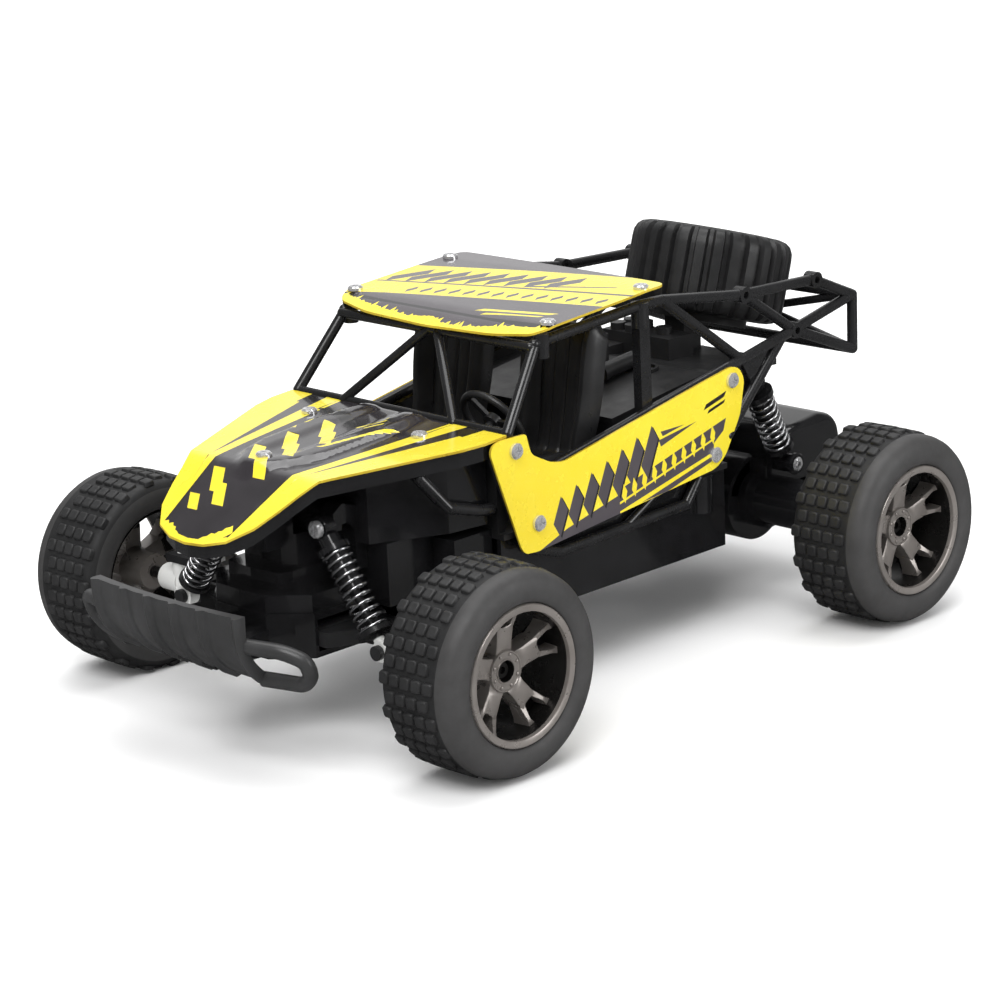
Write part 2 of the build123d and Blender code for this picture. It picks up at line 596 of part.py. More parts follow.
def plan_outline(half, inset=0.0):
    """Closed outline, symmetric about the car's centre line, pulled in by inset."""
    left = [(max(x - inset, 0), y + (inset if x < 20 else 0)) for x, y in half]
    right = [(-x, y) for x, y in reversed(left) if x > 0]
    return left + right


def hood_band(low, high):
    rear, kink, tip = -41.0, -104.6, -136.0
    profile = [(rear, hood_z(rear) + high), (kink, hood_z(kink) + high), (tip, hood_z(tip) + high),
               (tip, hood_z(tip) + low), (kink, hood_z(kink) + low), (rear, hood_z(rear) + low)]
    return prism_x(profile, -60, 60)


def hood_panel():
    sheet = hood_band(0, PANEL_T) & prism_z(plan_outline(HOOD_PLAN), 50, 110)
    scoop = [(13, -42), (16, -60), (16, -92), (9, -103), (0, -106)]
    raised = hood_band(PANEL_T, 2.6) & prism_z(plan_outline(scoop), 50, 110)
    return sheet + raised


def nose_tray():
    outer = hood_band(-5.2, 0) & prism_z(plan_outline(HOOD_PLAN, 1.2), 50, 110)
    inner = hood_band(-6, -1.6) & prism_z(plan_outline(HOOD_PLAN, 3.2), 50, 110)
    core_plan = [(44, -44), (42, -60), (30, -84), (0, -84)]
    core = prism_z(plan_outline(core_plan), 62.2, 100) - hood_band(-1, 40)
    core_hollow = prism_z(plan_outline([(42, -43), (40, -60), (28, -82), (0, -82)]), 60, 83)
    stem = box(-12, 12, -112, -100, 63, 90) - hood_band(-1, 40)
    tray = outer - inner + (core - core_hollow) + stem
    return tray - box(-60, 60, -43.1, -40, 50, 100)


ROOF_SIDE = [(-28, 118.2), (-22, 120.6), (-15, 122.6), (30, 126.0), (41, 126.4)]


def roof_panel():
    top = [(y, z + PANEL_T) for y, z in reversed(ROOF_SIDE)]
    sheet = prism_x(ROOF_SIDE + top, -60, 60)
    plan = [(48.5, 41), (49.3, 20), (49.3, -17), (46, -22.5), (30, -26), (0, -27.6)]
    return sheet & prism_z(plan_outline(plan), 100, 140)


DOOR = [(-34, 91.4), (-33.4, 88.6), (-32, 84), (-23, 79.5), (-17, 78.4), (48, 90.4), (67, 93.6),
        (71, 92.2), (73.5, 88), (71, 76), (63, 63), (58, 59.4), (-30, 51), (-36, 51.4), (-38, 53.5),
        (-50.5, 88), (-49.4, 90.6), (-46, 91.6)]


def door_panel():
    return prism_x(DOOR, WALL_X, WALL_X + PANEL_T)


SCREWS_DOOR = [(-39.2, 86.8), (-29.9, 60.6), (66.8, 88.8), (57.4, 64.4)]
SCREWS_ROOF = [(46.0, -15.4), (45.5, 30.0)]
SCREW_NOSE = (0.0, -100.0)
SCREW_HOOD = (26.5, -56.6)


def roof_z(y):
    return 122.6 + (y + 15) * 3.4 / 45 + PANEL_T


def panel_screws():
    doors = [pan_head((WALL_X + PANEL_T, y, z), (1, 0, 0), 2.7) for y, z in SCREWS_DOOR]
    roof = [pan_head((x, y, roof_z(y) - 0.1), (0, 0, 1), 2.7) for x, y in SCREWS_ROOF]
    hood = [pan_head((*SCREW_HOOD, hood_z(SCREW_HOOD[1]) + PANEL_T - 0.1), (0, 0, 1), 2.7)]
    nose = pan_head((*SCREW_NOSE, hood_z(SCREW_NOSE[1]) + 2.5), (0, 0, 1), 2.7)
    return both(Part() + doors + roof + hood) + nose


# ---- cage ----
N1, N2, N3 = (46, 39.5, 121), (FRAME_X, 84, 114.5), (FRAME_X, 122.6, 113)
N4, N5, N6 = (FRAME_X, 111.4, 96.8), (FRAME_X, 144.6, 103.6), (FRAME_X, 144.6, 83.6)
N7 = (46.5, 79, 92.6)
ROOF_FRONT = (45.4, -21.5, 117.6)


def cage_side():
    roof_rail = bars([ROOF_FRONT, (46.6, 28, 121.4), N1])
    truss = bars([N1, N2, N3, N5, N6, N4, N5]) + bar(N2, N4) + bar(N7, N4) + bar(N1, N7)
    belt_rail = bars([(49.7, -21.5, 76.2), (49.7, 68, belt_z(68)), N7])
    lower = bar((43.4, 104.6, 95.6), (51, 65.8, 69.2)) + belt_rail
    pillar = prism_y([(45.2, 84), (48.8, 84), (48.4, 122), (44.8, 122)], 25.5, 30.5)
    caps = cyl((46.5, 28, 114), (0, 0, 1), 3.0, 8.5) + cyl((45.6, -18.5, 112.6), (0, 0, 1), 2.6, 8)
    gusset = prism_x([(79.5, 91.5), (95, 94.6), (84.5, 83.4)], 44.9, 46.4)
    rings = Part() + [ring(p, 2.9, 1.3, 4.4) for p in (N2, N3, N4)]
    side = roof_rail + truss + lower + pillar + caps + gusset
    for x, y, z in (N2, N3, N4):
        side -= cyl((x - 4, y, z), (1, 0, 0), 2.8, 8)
    return side + rings


def nerf_bar():
    rail = bars([(50, -31, 51.6), (50, -18, 47.6), (50, 44.8, 49.2), (50, 51, 57)])
    return rail + bar((50, 14, 48.6), (50, 30, 56.6), 1.4)


def fender_bar():
    """Bent tube under the side edge of the hood."""
    return bars([(41.6, -71.4, 83.0), (45.8, -63.5, 72.2), (46.2, -50.0, 68.4), (46.2, -45.0, 67.8)])


def windscreen_frame():
    pillars = both(bar((50.2, -40.2, 92.4), (45.6, -22.0, 116.2)))
    vee = both(bar((26.4, -41.0, 92.6), (2.4, -23.4, 116.6), 1.6))
    header = bar((-45, -23.0, 116.8), (45, -23.0, 116.8), 1.7)
    sill = bar((-50.2, -40.2, 92.4), (50.2, -40.2, 92.4), 1.5)
    return pillars + vee + header + sill


def rear_rack():
    header = bar(flipped(N1), N1) + bar(flipped(N1), N2, 1.6) + bar(N1, flipped(N2), 1.6)
    tail = bar(flipped(N5), N5) + bar(flipped(N6), N6)
    tail += bar(flipped(N5), N6, 1.5) + bar(flipped(N6), N5, 1.5)
    return header + tail


def flipped(point):
    return (-point[0], point[1], point[2])


# ---- spare wheel and bumper ----
SPARE_CENTER = (0.8, 114.4, 112.2)
SPARE_R = 29.2
SPARE_W = 31.0
SPARE_TILT = 17.0


def spare_tyre():
    half = SPARE_W / 2
    profile = [(14, -half), (23, -half), (SPARE_R - 2.0, -half + 2), (SPARE_R, -half + 6),
               (SPARE_R, half - 6), (SPARE_R - 2.0, half - 2), (23, half), (14, half)]
    face = Plane.XZ * make_face(Polyline(*profile, close=True))
    body = revolve(face, axis=Axis.Z)
    return Pos(*SPARE_CENTER) * Rot(-SPARE_TILT, 0, 0) * body


BUMPER_X = 36.0
BUMPER_BOW = 271.0         # plan radius of the bumper
BUMPER_FRONT = -147.6
BUMPER_SECTION = [(0, 54), (0.7, 45.7), (3.35, 38.2), (8.2, 32.8), (15.3, 27.6)]


def bumper_band(shift, thickness, half_width):
    """The bumper's curved section swept along its plan arc."""
    front = [(BUMPER_FRONT + y + shift, z) for y, z in BUMPER_SECTION]
    back = [(y + thickness, z + thickness * 0.5) for y, z in reversed(front[1:])]
    back.append((front[0][0] + thickness, front[0][1]))
    face = Plane.YZ * make_face(Polyline(*front, *back, close=True))
    angle = math.degrees(half_width / BUMPER_BOW)
    pivot = Axis((0, BUMPER_FRONT + BUMPER_BOW, 0), (0, 0, 1))
    return revolve(face, axis=pivot, revolution_arc=2 * angle).rotate(pivot, -angle)


def front_bumper():
    plate = bumper_band(0, 2.6, BUMPER_X)
    pivot = Axis((0, BUMPER_FRONT + BUMPER_BOW, 0), (0, 0, 1))
    groove = bumper_band(-1.4, 2.6, 0.7)
    for x in (-18, -6, 6, 18):
        plate -= groove.rotate(pivot, math.degrees(x / BUMPER_BOW))
    loop = bars([(34, -141.5, 44), (48, -136.5, 43.6), (53, -133, 40), (52.6, -131.5, 35), (47, -130.4, 31.6),
                 (33, -134.0, 31.4)], 2.1)
    return plate + both(loop)


def seated(shape, *neighbours):
    """A moulding trimmed where it sits against the pieces beside it."""
    for other in neighbours:
        shape -= other
    return shape


def build():
    os.makedirs("parts", exist_ok=True)
    tub = chassis_tub()
    bulkhead = front_bulkhead()
    cockpit = seated(cockpit_body(), tub)
    screen = seated(windscreen_frame(), hood_panel())
    side = cage_side() + nerf_bar() + fender_bar()
    cage = seated(side, tub, cockpit, screen, roof_panel(), door_panel(), dashboard(), hood_panel())
    tray = seated(nose_tray(), cockpit, bulkhead, screen, both(door_panel()), both(cage))
    F, FL, R, RL = F_SHOCK_TOP, F_SHOCK_LOW, R_SHOCK_TOP, R_SHOCK_LOW
    left_nodes = {
        "front_tyre": tyre(FRONT_Y),
        "front_rim": rim(FRONT_Y),
        "wheel_bolt": wheel_bolt(),
        "knuckle": knuckle(),
        "front_arm": front_arm(),
        "tie_rod": tie_rod(),
        "front_shock_body": shock_body(F, FL, (0, 1, 0), 22.0, 9.0),
        "front_shock_rod": shock_rod(F, FL, (0, 1, 0), 16.0, 36.5),
        "front_spring": shock_spring(F, FL, 9.0, 36.5, 12),
        "rear_shock_body": shock_body(R, RL, (1, 0, 0), 16.0, 6.0),
        "rear_shock_rod": shock_rod(R, RL, (1, 0, 0), 9.0, 28.1),
        "rear_spring": shock_spring(R, RL, 6.0, 28.1, 9),
        "door_panel": door_panel(),
        "cage": cage,
        "seat": seat(26),
        "rear_tyre": tyre(REAR_Y),
        "rear_rim": rim(REAR_Y),
    }
    for name, shape in left_nodes.items():
        node(name + "_left", shape)
        node(name + "_right", mirrored(shape))
    centre_nodes = {
        "chassis_tub": tub,
        "battery_cover": battery_cover(),
        "battery_pack": battery_pack(),
        "power_switch": power_switch(),
        "cockpit_body": cockpit,
        "dashboard": seated(dashboard(), cockpit, screen),
        "engine_dummy": seated(engine_dummy(), cockpit),
        "front_bulkhead": bulkhead,
        "front_bumper": seated(front_bumper(), bulkhead),
        "nose_tray": tray,
        "hood_panel": hood_panel(),
        "roof_panel": roof_panel(),
        "windscreen_frame": screen,
        "rear_rack": seated(rear_rack(), cage, mirrored(cage)),
        "panel_screws": seated(panel_screws(), hood_panel(), roof_panel()),
        "suspension_pins": hinge_pins() + shock_screws(),
        "steering_servo": steering_servo(),
        "servo_horn": servo_horn(),
        "steering_rack": steering_rack(),
        "spare_tyre": spare_tyre(),
        "axle_housing": axle_housing(),
        "motor_cover": motor_cover(),
        "drive_motor": drive_motor(),
        "motor_pinion": motor_pinion(),
        "axle_gear": axle_gear(),
        "rear_shaft": rear_shaft(),
    }
    for name, shape in centre_nodes.items():
        node(name, shape)


build()
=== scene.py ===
import json
import math
import random
import bpy
import numpy as np
from mathutils import Matrix, Vector
from mathutils.geometry import delaunay_2d_cdt

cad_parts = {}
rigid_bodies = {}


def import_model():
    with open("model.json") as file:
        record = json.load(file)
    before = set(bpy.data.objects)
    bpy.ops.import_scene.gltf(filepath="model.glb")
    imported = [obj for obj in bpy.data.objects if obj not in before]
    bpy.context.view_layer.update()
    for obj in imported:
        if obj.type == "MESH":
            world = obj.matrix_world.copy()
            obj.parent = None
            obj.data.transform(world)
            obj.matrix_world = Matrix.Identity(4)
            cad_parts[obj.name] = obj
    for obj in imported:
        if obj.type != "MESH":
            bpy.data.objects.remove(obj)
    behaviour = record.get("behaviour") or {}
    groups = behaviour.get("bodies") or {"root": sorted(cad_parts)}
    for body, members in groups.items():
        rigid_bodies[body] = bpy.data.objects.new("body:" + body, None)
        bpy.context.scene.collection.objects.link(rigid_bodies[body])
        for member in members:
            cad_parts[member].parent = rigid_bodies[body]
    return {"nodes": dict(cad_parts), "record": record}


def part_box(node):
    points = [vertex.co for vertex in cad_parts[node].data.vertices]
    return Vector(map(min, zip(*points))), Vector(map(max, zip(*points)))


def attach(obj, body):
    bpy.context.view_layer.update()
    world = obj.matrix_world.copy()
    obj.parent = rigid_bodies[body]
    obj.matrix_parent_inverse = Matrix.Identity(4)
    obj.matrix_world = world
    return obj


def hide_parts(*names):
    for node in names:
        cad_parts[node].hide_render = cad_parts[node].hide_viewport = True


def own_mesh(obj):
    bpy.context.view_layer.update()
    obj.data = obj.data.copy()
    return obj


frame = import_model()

# RC buggy. The code works in millimetres in the CAD frame; MM turns them into Blender's metres.
MM = 0.001
CHASSIS = "chassis"
FRONT_Y, REAR_Y, HUB_Z = -87.5, 107.5, 34.0
TYRE_R, HUB_FACE = 34.0, 93.5
WALL_X, SHEET = 51.8, 0.8
bpy.context.scene.view_settings.view_transform = "Standard"
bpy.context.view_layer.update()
rng = random.Random(11)


# ---------------------------------------------------------------- materials
class Shader:
    """A Principled material with small helpers for procedural inputs."""

    def __init__(self, name):
        self.mat = bpy.data.materials.new(name)
        self.mat.use_nodes = True
        self.tree = self.mat.node_tree
        self.bsdf = self.tree.nodes["Principled BSDF"]
        self.coord = self.tree.nodes.new("ShaderNodeTexCoord").outputs["Object"]

    def add(self, kind, **settings):
        made = self.tree.nodes.new(kind)
        for key, value in settings.items():
            setattr(made, key, value)
        return made

    def link(self, source, target):
        self.tree.links.new(source, target)

    def noise(self, scale, detail=4.0, rough=0.55, stretch=(1, 1, 1)):
        mapping = self.add("ShaderNodeMapping")
        mapping.inputs["Scale"].default_value = stretch
        self.link(self.coord, mapping.inputs["Vector"])
        made = self.add("ShaderNodeTexNoise")
        made.inputs["Scale"].default_value = scale
        made.inputs["Detail"].default_value = detail
        made.inputs["Roughness"].default_value = rough
        self.link(mapping.outputs["Vector"], made.inputs["Vector"])
        return made.outputs["Fac"]

    def remap(self, value, low, high, out_low, out_high):
        made = self.add("ShaderNodeMapRange")
        for key, number in (("From Min", low), ("From Max", high), ("To Min", out_low), ("To Max", out_high)):
            made.inputs[key].default_value = number
        self.link(value, made.inputs["Value"])
        return made.outputs["Result"]

    def blend(self, fac, a, b):
        made = self.add("ShaderNodeMix", data_type="RGBA")
        self.link(fac, made.inputs["Factor"])
        for socket, color in ((made.inputs[6], a), (made.inputs[7], b)):
            if hasattr(color, "node"):
                self.link(color, socket)
            else:
                socket.default_value = (*color, 1)
        return made.outputs[2]

    def bump(self, height, strength, distance, normal=None):
        made = self.add("ShaderNodeBump")
        made.inputs["Strength"].default_value = strength
        made.inputs["Distance"].default_value = distance
        self.link(height, made.inputs["Height"])
        if normal is not None:
            self.link(normal, made.inputs["Normal"])
        return made.outputs["Normal"]

    def color(self, socket):
        self.link(socket, self.bsdf.inputs["Base Color"])

    def set(self, **values):
        for key, value in values.items():
            self.bsdf.inputs[key.replace("_", " ")].default_value = value


def finish_material(name, base, alt, rough, metallic=0.0, coat=0.0, grain=900.0, grain_depth=0.00002,
                    mottle=60.0, streak=(1, 1, 1), coat_rough=0.06):
    """Mottled colour, uneven roughness and a fine grain: the shared recipe of every hard surface."""
    s = Shader(name)
    s.color(s.blend(s.remap(s.noise(mottle, 5), 0.35, 0.65, 0, 1), base, alt))
    uneven = s.remap(s.noise(mottle * 2.6, 6, 0.6, streak), 0.3, 0.7, rough[0], rough[1])
    s.link(uneven, s.bsdf.inputs["Roughness"])
    s.link(s.bump(s.noise(grain, 3, 0.5, streak), 0.35, grain_depth), s.bsdf.inputs["Normal"])
    s.set(Metallic=metallic, Coat_Weight=coat, Coat_Roughness=coat_rough)
    return s.mat


def yellow_paint():
    s = Shader("yellow_lacquer")
    tone = s.blend(s.remap(s.noise(22, 3), 0.35, 0.65, 0, 1), (0.955, 0.74, 0.022), (0.985, 0.83, 0.05))
    flake = s.remap(s.noise(5200, 1, 0.5), 0.52, 0.74, 0, 0.30)
    s.color(s.blend(flake, tone, (1.0, 0.90, 0.22)))
    s.link(s.remap(s.noise(130, 5), 0.3, 0.7, 0.20, 0.32), s.bsdf.inputs["Roughness"])
    s.link(s.bump(s.noise(520, 2), 0.22, 0.00002), s.bsdf.inputs["Normal"])
    s.set(Metallic=0.12, Coat_Weight=0.75, Coat_Roughness=0.05)
    return s.mat


def tyre_rubber(name, base, alt, rough):
    s = Shader(name)
    wear = s.remap(s.noise(95, 6, 0.65), 0.35, 0.68, 0, 1)
    s.color(s.blend(wear, base, alt))
    s.link(s.remap(s.noise(260, 4), 0.3, 0.7, rough[0], rough[1]), s.bsdf.inputs["Roughness"])
    fine = s.bump(s.noise(2600, 3, 0.6), 0.5, 0.00005)
    s.link(s.bump(s.noise(420, 4), 0.25, 0.00012, fine), s.bsdf.inputs["Normal"])
    s.set(Specular_IOR_Level=0.42)
    return s.mat


GLOSS = finish_material("black_gloss", (0.0065, 0.0065, 0.007), (0.011, 0.011, 0.012), (0.10, 0.22),
                        coat=0.35)
SATIN = finish_material("black_satin", (0.012, 0.012, 0.0125), (0.019, 0.019, 0.02), (0.30, 0.46),
                        grain=1800, grain_depth=0.00005)
CAGE = finish_material("cage_black", (0.009, 0.009, 0.0095), (0.014, 0.014, 0.015), (0.20, 0.34), coat=0.25)
BUMPER = finish_material("bumper_black", (0.030, 0.030, 0.0305), (0.042, 0.042, 0.043), (0.32, 0.40),
                         grain=1400, grain_depth=0.00003)
SEAT = finish_material("seat_black", (0.013, 0.013, 0.0135), (0.022, 0.022, 0.023), (0.26, 0.40),
                       grain=2400, grain_depth=0.00008)
YELLOW = yellow_paint()
CHARCOAL = finish_material("charcoal_print", (0.062, 0.054, 0.062), (0.078, 0.068, 0.077), (0.16, 0.26),
                           coat=0.8, grain=600)
HOOD_INK = finish_material("hood_print", (0.021, 0.0185, 0.021), (0.030, 0.0265, 0.030), (0.14, 0.24),
                           coat=0.8, grain=600)
INK = finish_material("black_print", (0.008, 0.008, 0.009), (0.014, 0.013, 0.014), (0.16, 0.26),
                      coat=0.8, grain=600)
EDGE = finish_material("sheet_edge", (0.55, 0.38, 0.02), (0.78, 0.58, 0.05), (0.25, 0.4),
                       metallic=0.3, grain=1500)
CHROME = finish_material("chrome_screw", (0.74, 0.74, 0.75), (0.90, 0.90, 0.91), (0.12, 0.28), metallic=0.75)
SPRING = finish_material("spring_nickel", (0.58, 0.58, 0.60), (0.74, 0.74, 0.75), (0.14, 0.26), metallic=1.0)
STEEL = finish_material("ground_steel", (0.42, 0.42, 0.43), (0.56, 0.56, 0.57), (0.22, 0.38), metallic=1.0,
                        streak=(1, 12, 12))
NYLON = finish_material("white_nylon", (0.70, 0.70, 0.68), (0.80, 0.80, 0.78), (0.28, 0.42), grain=1600)
RIM = finish_material("rim_gunmetal", (0.255, 0.232, 0.215), (0.33, 0.302, 0.282), (0.24, 0.36),
                      metallic=0.55, coat=0.25)
RIM_DARK = finish_material("rim_barrel", (0.012, 0.0115, 0.011), (0.022, 0.021, 0.02), (0.22, 0.36),
                           metallic=0.6)
TREAD = tyre_rubber("tyre_tread", (0.0125, 0.0125, 0.013), (0.021, 0.021, 0.0215), (0.52, 0.70))
WALL = tyre_rubber("tyre_sidewall", (0.040, 0.039, 0.039), (0.052, 0.051, 0.051), (0.46, 0.60))
BLOCKS = tyre_rubber("tyre_blocks", (0.016, 0.016, 0.0165), (0.026, 0.026, 0.0265), (0.42, 0.60))
CAN = finish_material("motor_can", (0.40, 0.40, 0.42), (0.52, 0.52, 0.54), (0.25, 0.4), metallic=1.0)
WRAP = finish_material("cell_wrap", (0.02, 0.09, 0.24), (0.03, 0.12, 0.32), (0.3, 0.45))
GEAR = finish_material("gear_nylon", (0.62, 0.61, 0.56), (0.70, 0.69, 0.64), (0.35, 0.5))


# ---------------------------------------------------------------- mesh helpers
def make(name, verts, faces, materials, body, ids=None, sharp=35.0):
    mesh = bpy.data.meshes.new(name)
    mesh.from_pydata([tuple(c * MM for c in v) for v in verts], [], [tuple(f) for f in faces])
    for item in materials:
        mesh.materials.append(item)
    if ids is not None:
        mesh.polygons.foreach_set("material_index", np.array(ids, np.int32))
    mesh.polygons.foreach_set("use_smooth", np.ones(len(mesh.polygons), bool))
    mesh.validate()
    mesh.update()
    mesh.set_sharp_from_angle(angle=math.radians(sharp))
    obj = bpy.data.objects.new(name, mesh)
    bpy.context.scene.collection.objects.link(obj)
    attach(obj, body)
    return obj


def signed_volume(verts, faces):
    total = 0.0
    for f in faces:
        a = Vector(verts[f[0]])
        for i, j in zip(f[1:-1], f[2:]):
            total += a.dot(Vector(verts[i]).cross(Vector(verts[j])))
    return total


class Build:
    """Collects several closed shapes into one piece, each turned to face outwards."""

    def __init__(self):
        self.verts, self.faces, self.ids = [], [], []

    def add(self, verts, faces, material=0):
        start = len(self.verts)
        flip = signed_volume(verts, faces) < 0
        self.verts += [tuple(v) for v in verts]
        for f in faces:
            f = tuple(start + i for i in f)
            self.faces.append(f[::-1] if flip else f)
            self.ids.append(material)

    def object(self, name, materials, body, slot, sharp=35.0):
        return make(name, self.verts, self.faces, materials, body, self.ids, sharp)

    def mirrored(self):
        other = Build()
        other.verts = [(-x, y, z) for x, y, z in self.verts]
        other.faces = [f[::-1] for f in self.faces]
        other.ids = list(self.ids)
        return other


def soften(obj, width, segments=2, angle=35.0):
    """Rounded edges on a hard piece."""
    bevel = obj.modifiers.new("edges", "BEVEL")
    bevel.width = width * MM
    bevel.segments = segments
    bevel.limit_method = "ANGLE"
    bevel.angle_limit = math.radians(angle)
    bevel.harden_normals = True
    return obj


def rings(sections, closed_ends=True, loop=False):
    """Skin over equal-length closed sections."""
    n = len(sections[0])
    verts = [v for s in sections for v in s]
    faces = []
    last = len(sections) if loop else len(sections) - 1
    for i in range(last):
        a, b = i * n, ((i + 1) % len(sections)) * n
        for j in range(n):
            k = (j + 1) % n
            faces.append((a + j, a + k, b + k, b + j))
    if closed_ends and not loop:
        faces.append(tuple(range(n))[::-1])
        faces.append(tuple(range((len(sections) - 1) * n, len(sections) * n)))
    return verts, faces


def lathe(profile, axle_y, axle_z=HUB_Z, count=96):
    """Closed (x, radius) profile turned about a line along X."""
    sections = []
    for i in range(count):
        a = 2 * math.pi * i / count
        sections.append([(x, axle_y + r * math.cos(a), axle_z + r * math.sin(a)) for x, r in profile])
    return rings(sections, loop=True)


def prism(outline, place, depth_from, depth_to):
    """Outline (u, v) placed by place(u, v, depth) between two depths."""
    n = len(outline)
    verts = [place(u, v, depth_from) for u, v in outline] + [place(u, v, depth_to) for u, v in outline]
    faces = [tuple(range(n))[::-1], tuple(range(n, 2 * n))]
    faces += [(j, (j + 1) % n, n + (j + 1) % n, n + j) for j in range(n)]
    return verts, faces


def frames_along(points, closed=False):
    """Tangent and two normals at each point of a path, turned as little as possible."""
    pts = [Vector(p) for p in points]
    n = len(pts)
    out = []
    normal = None
    for i, p in enumerate(pts):
        if closed:
            tangent = (pts[(i + 1) % n] - pts[i - 1]).normalized()
        else:
            tangent = (pts[min(i + 1, n - 1)] - pts[max(i - 1, 0)]).normalized()
        if normal is None:
            normal = tangent.orthogonal().normalized()
        normal = (normal - tangent * normal.dot(tangent)).normalized()
        out.append((p, tangent, normal, tangent.cross(normal)))
    return out


def tube(points, radius, sides=12, closed=False):
    sections = []
    for p, _, u, v in frames_along(points, closed):
        sections.append([p + (u * math.cos(a) + v * math.sin(a)) * radius
                         for a in (2 * math.pi * k / sides for k in range(sides))])
    return rings(sections, closed_ends=True, loop=closed)


def rounded(points, radius, steps=6):
    """Open path with its inner corners rounded."""
    pts = [Vector(p) for p in points]
    out = [pts[0]]
    for a, b, c in zip(pts[:-2], pts[1:-1], pts[2:]):
        reach = min(radius, (a - b).length * 0.45, (c - b).length * 0.45)
        start, end = b + (a - b).normalized() * reach, b + (c - b).normalized() * reach
        for i in range(steps + 1):
            t = i / steps
            out.append(start * (1 - t) ** 2 + b * 2 * t * (1 - t) + end * t ** 2)
    out.append(pts[-1])
    return out


def smooth_step(t):
    t = max(0.0, min(1.0, t))
    return t * t * (3 - 2 * t)


# ---------------------------------------------------------------- wheels
TYRE_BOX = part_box("front_tyre_left")
TYRE_IN, TYRE_OUT = TYRE_BOX[0].x / MM, TYRE_BOX[1].x / MM
ROWS = 36
BLOCK_X, BLOCK_T = 3.7, 3.7
PITCH = 4.75
BAND_X = TYRE_IN + 13.2
TREAD_BASE = 32.9


def shoulder_drop(x):
    """How far the tread surface falls below the crown at x: nearly flat, rolling over at the shoulders."""
    t = abs(x - BAND_X)
    return 0.0016 * t * t + 0.055 * max(0.0, t - 9.5) ** 2


def tyre_build(axle_y):
    """Smooth walled carcass with rows of square blocks across the tread."""
    b = Build()
    out, inn = TYRE_OUT, TYRE_IN
    outer = [(out - 1.7, 22.85), (out - 0.8, 23.5), (out - 0.2, 25.0), (out, 27.0), (out - 0.25, 29.0),
             (out - 0.9, 30.6), (out - 1.9, 31.8), (out - 3.2, 32.6), (out - 4.8, 33.0), (out - 6.4, 33.1)]
    steps = [BAND_X + 10.4 - 20.8 * k / 8 for k in range(9)]
    tread = [(x, TREAD_BASE - shoulder_drop(x)) for x in steps]
    inner = [(inn + 1.6, 31.6), (inn + 0.7, 30.2), (inn + 0.1, 28.2), (inn, 25.6), (inn + 0.5, 23.8),
             (inn + 1.4, 22.85)]
    carcass = outer + tread + inner
    verts, faces = lathe(carcass, axle_y, count=128)
    b.add(verts, faces, 0)
    n = len(carcass)
    for i in range(len(b.faces)):
        j = i % n
        b.ids[i] = 1 if j < len(outer) - 1 or j >= n - 5 else 0
    for row in range(ROWS):
        centre = 2 * math.pi * (row + 0.5) / ROWS
        count = 5 if row % 2 else 4
        for k in range(count):
            add_block(b, BAND_X + (k - (count - 1) / 2) * PITCH, centre, axle_y)
    return b


def add_block(b, x, centre, axle_y):
    """One tread block: a square pad with drafted sides, softened top edges and a slightly sunk rough top."""
    hx, ht = BLOCK_X / 2, BLOCK_T / 2
    layers = ((0.32, -0.3), (0.08, 0.6), (0.0, 0.85), (-0.22, 1.0), (-0.7, 0.97))
    verts = []
    lean = rng.uniform(-0.04, 0.04)
    for grow, level in layers:
        sx, st = hx + grow, ht + grow
        corner = 0.5
        ring = [(sx, st - corner), (sx - corner, st), (corner - sx, st), (-sx, st - corner),
                (-sx, corner - st), (corner - sx, -st), (sx - corner, -st), (sx, corner - st)]
        for u, v in ring:
            px = x + u
            drop = shoulder_drop(px)
            r = TREAD_BASE - drop + (TYRE_R - 0.03 - TREAD_BASE) * (level + lean * (level > 0.9))
            a = centre + v / TYRE_R
            verts.append((px, axle_y + r * math.cos(a), HUB_Z + r * math.sin(a)))
    faces = []
    for layer in range(len(layers) - 1):
        start = layer * 8
        for j in range(8):
            k = (j + 1) % 8
            faces.append((start + j, start + k, start + 8 + k, start + 8 + j))
    top = (len(layers) - 1) * 8
    faces.append(tuple(range(top, top + 8)))
    faces.append(tuple(range(8))[::-1])
    b.add(verts, faces, 2)


def place_axle(axle_y, angle):
    """Local (tangent, radius, x) of a spoke, turned about the axle."""
    c, s = math.cos(angle), math.sin(angle)

    def put(t, r, x):
        return (x, axle_y + r * c - t * s, HUB_Z + r * s + t * c)

    return put


def spoke_skin(b, put, outline, face, back, material=0):
    """Outline (tangent, radius) with the front following face(r) and a softened front edge."""
    n = len(outline)
    mid = (sum(t for t, _ in outline) / n, sum(r for _, r in outline) / n)
    levels = []
    for inset, drop in ((0.0, None), (0.0, 0.55), (0.10, 0.18), (0.5, 0.0)):
        ring = []
        for t, r in outline:
            dt, dr = mid[0] - t, mid[1] - r
            length = math.hypot(dt, dr)
            t2, r2 = t + dt / length * inset, r + dr / length * inset
            ring.append(put(t2, r2, back if drop is None else face(r2) - drop))
        levels.append(ring)
    verts, faces = rings(levels)
    b.add(verts, faces, material)


SPOKE_COUNT, STUD_COUNT = 5, 8
SPOKE = [(-3.5, 5.6), (3.5, 5.6), (3.2, 8.5), (3.5, 14.0), (3.1, 15.3), (1.3, 14.5), (-1.3, 14.5),
         (-3.1, 15.3), (-3.5, 14.0), (-3.2, 8.5)]
PRONG = [(1.7, 14.0), (3.6, 13.7), (5.0, 18.6), (6.3, 20.9), (3.3, 21.1), (3.5, 19.0)]
WEB = [(-2.2, 13.5), (2.2, 13.5), (3.6, 21.0), (-3.6, 21.0)]


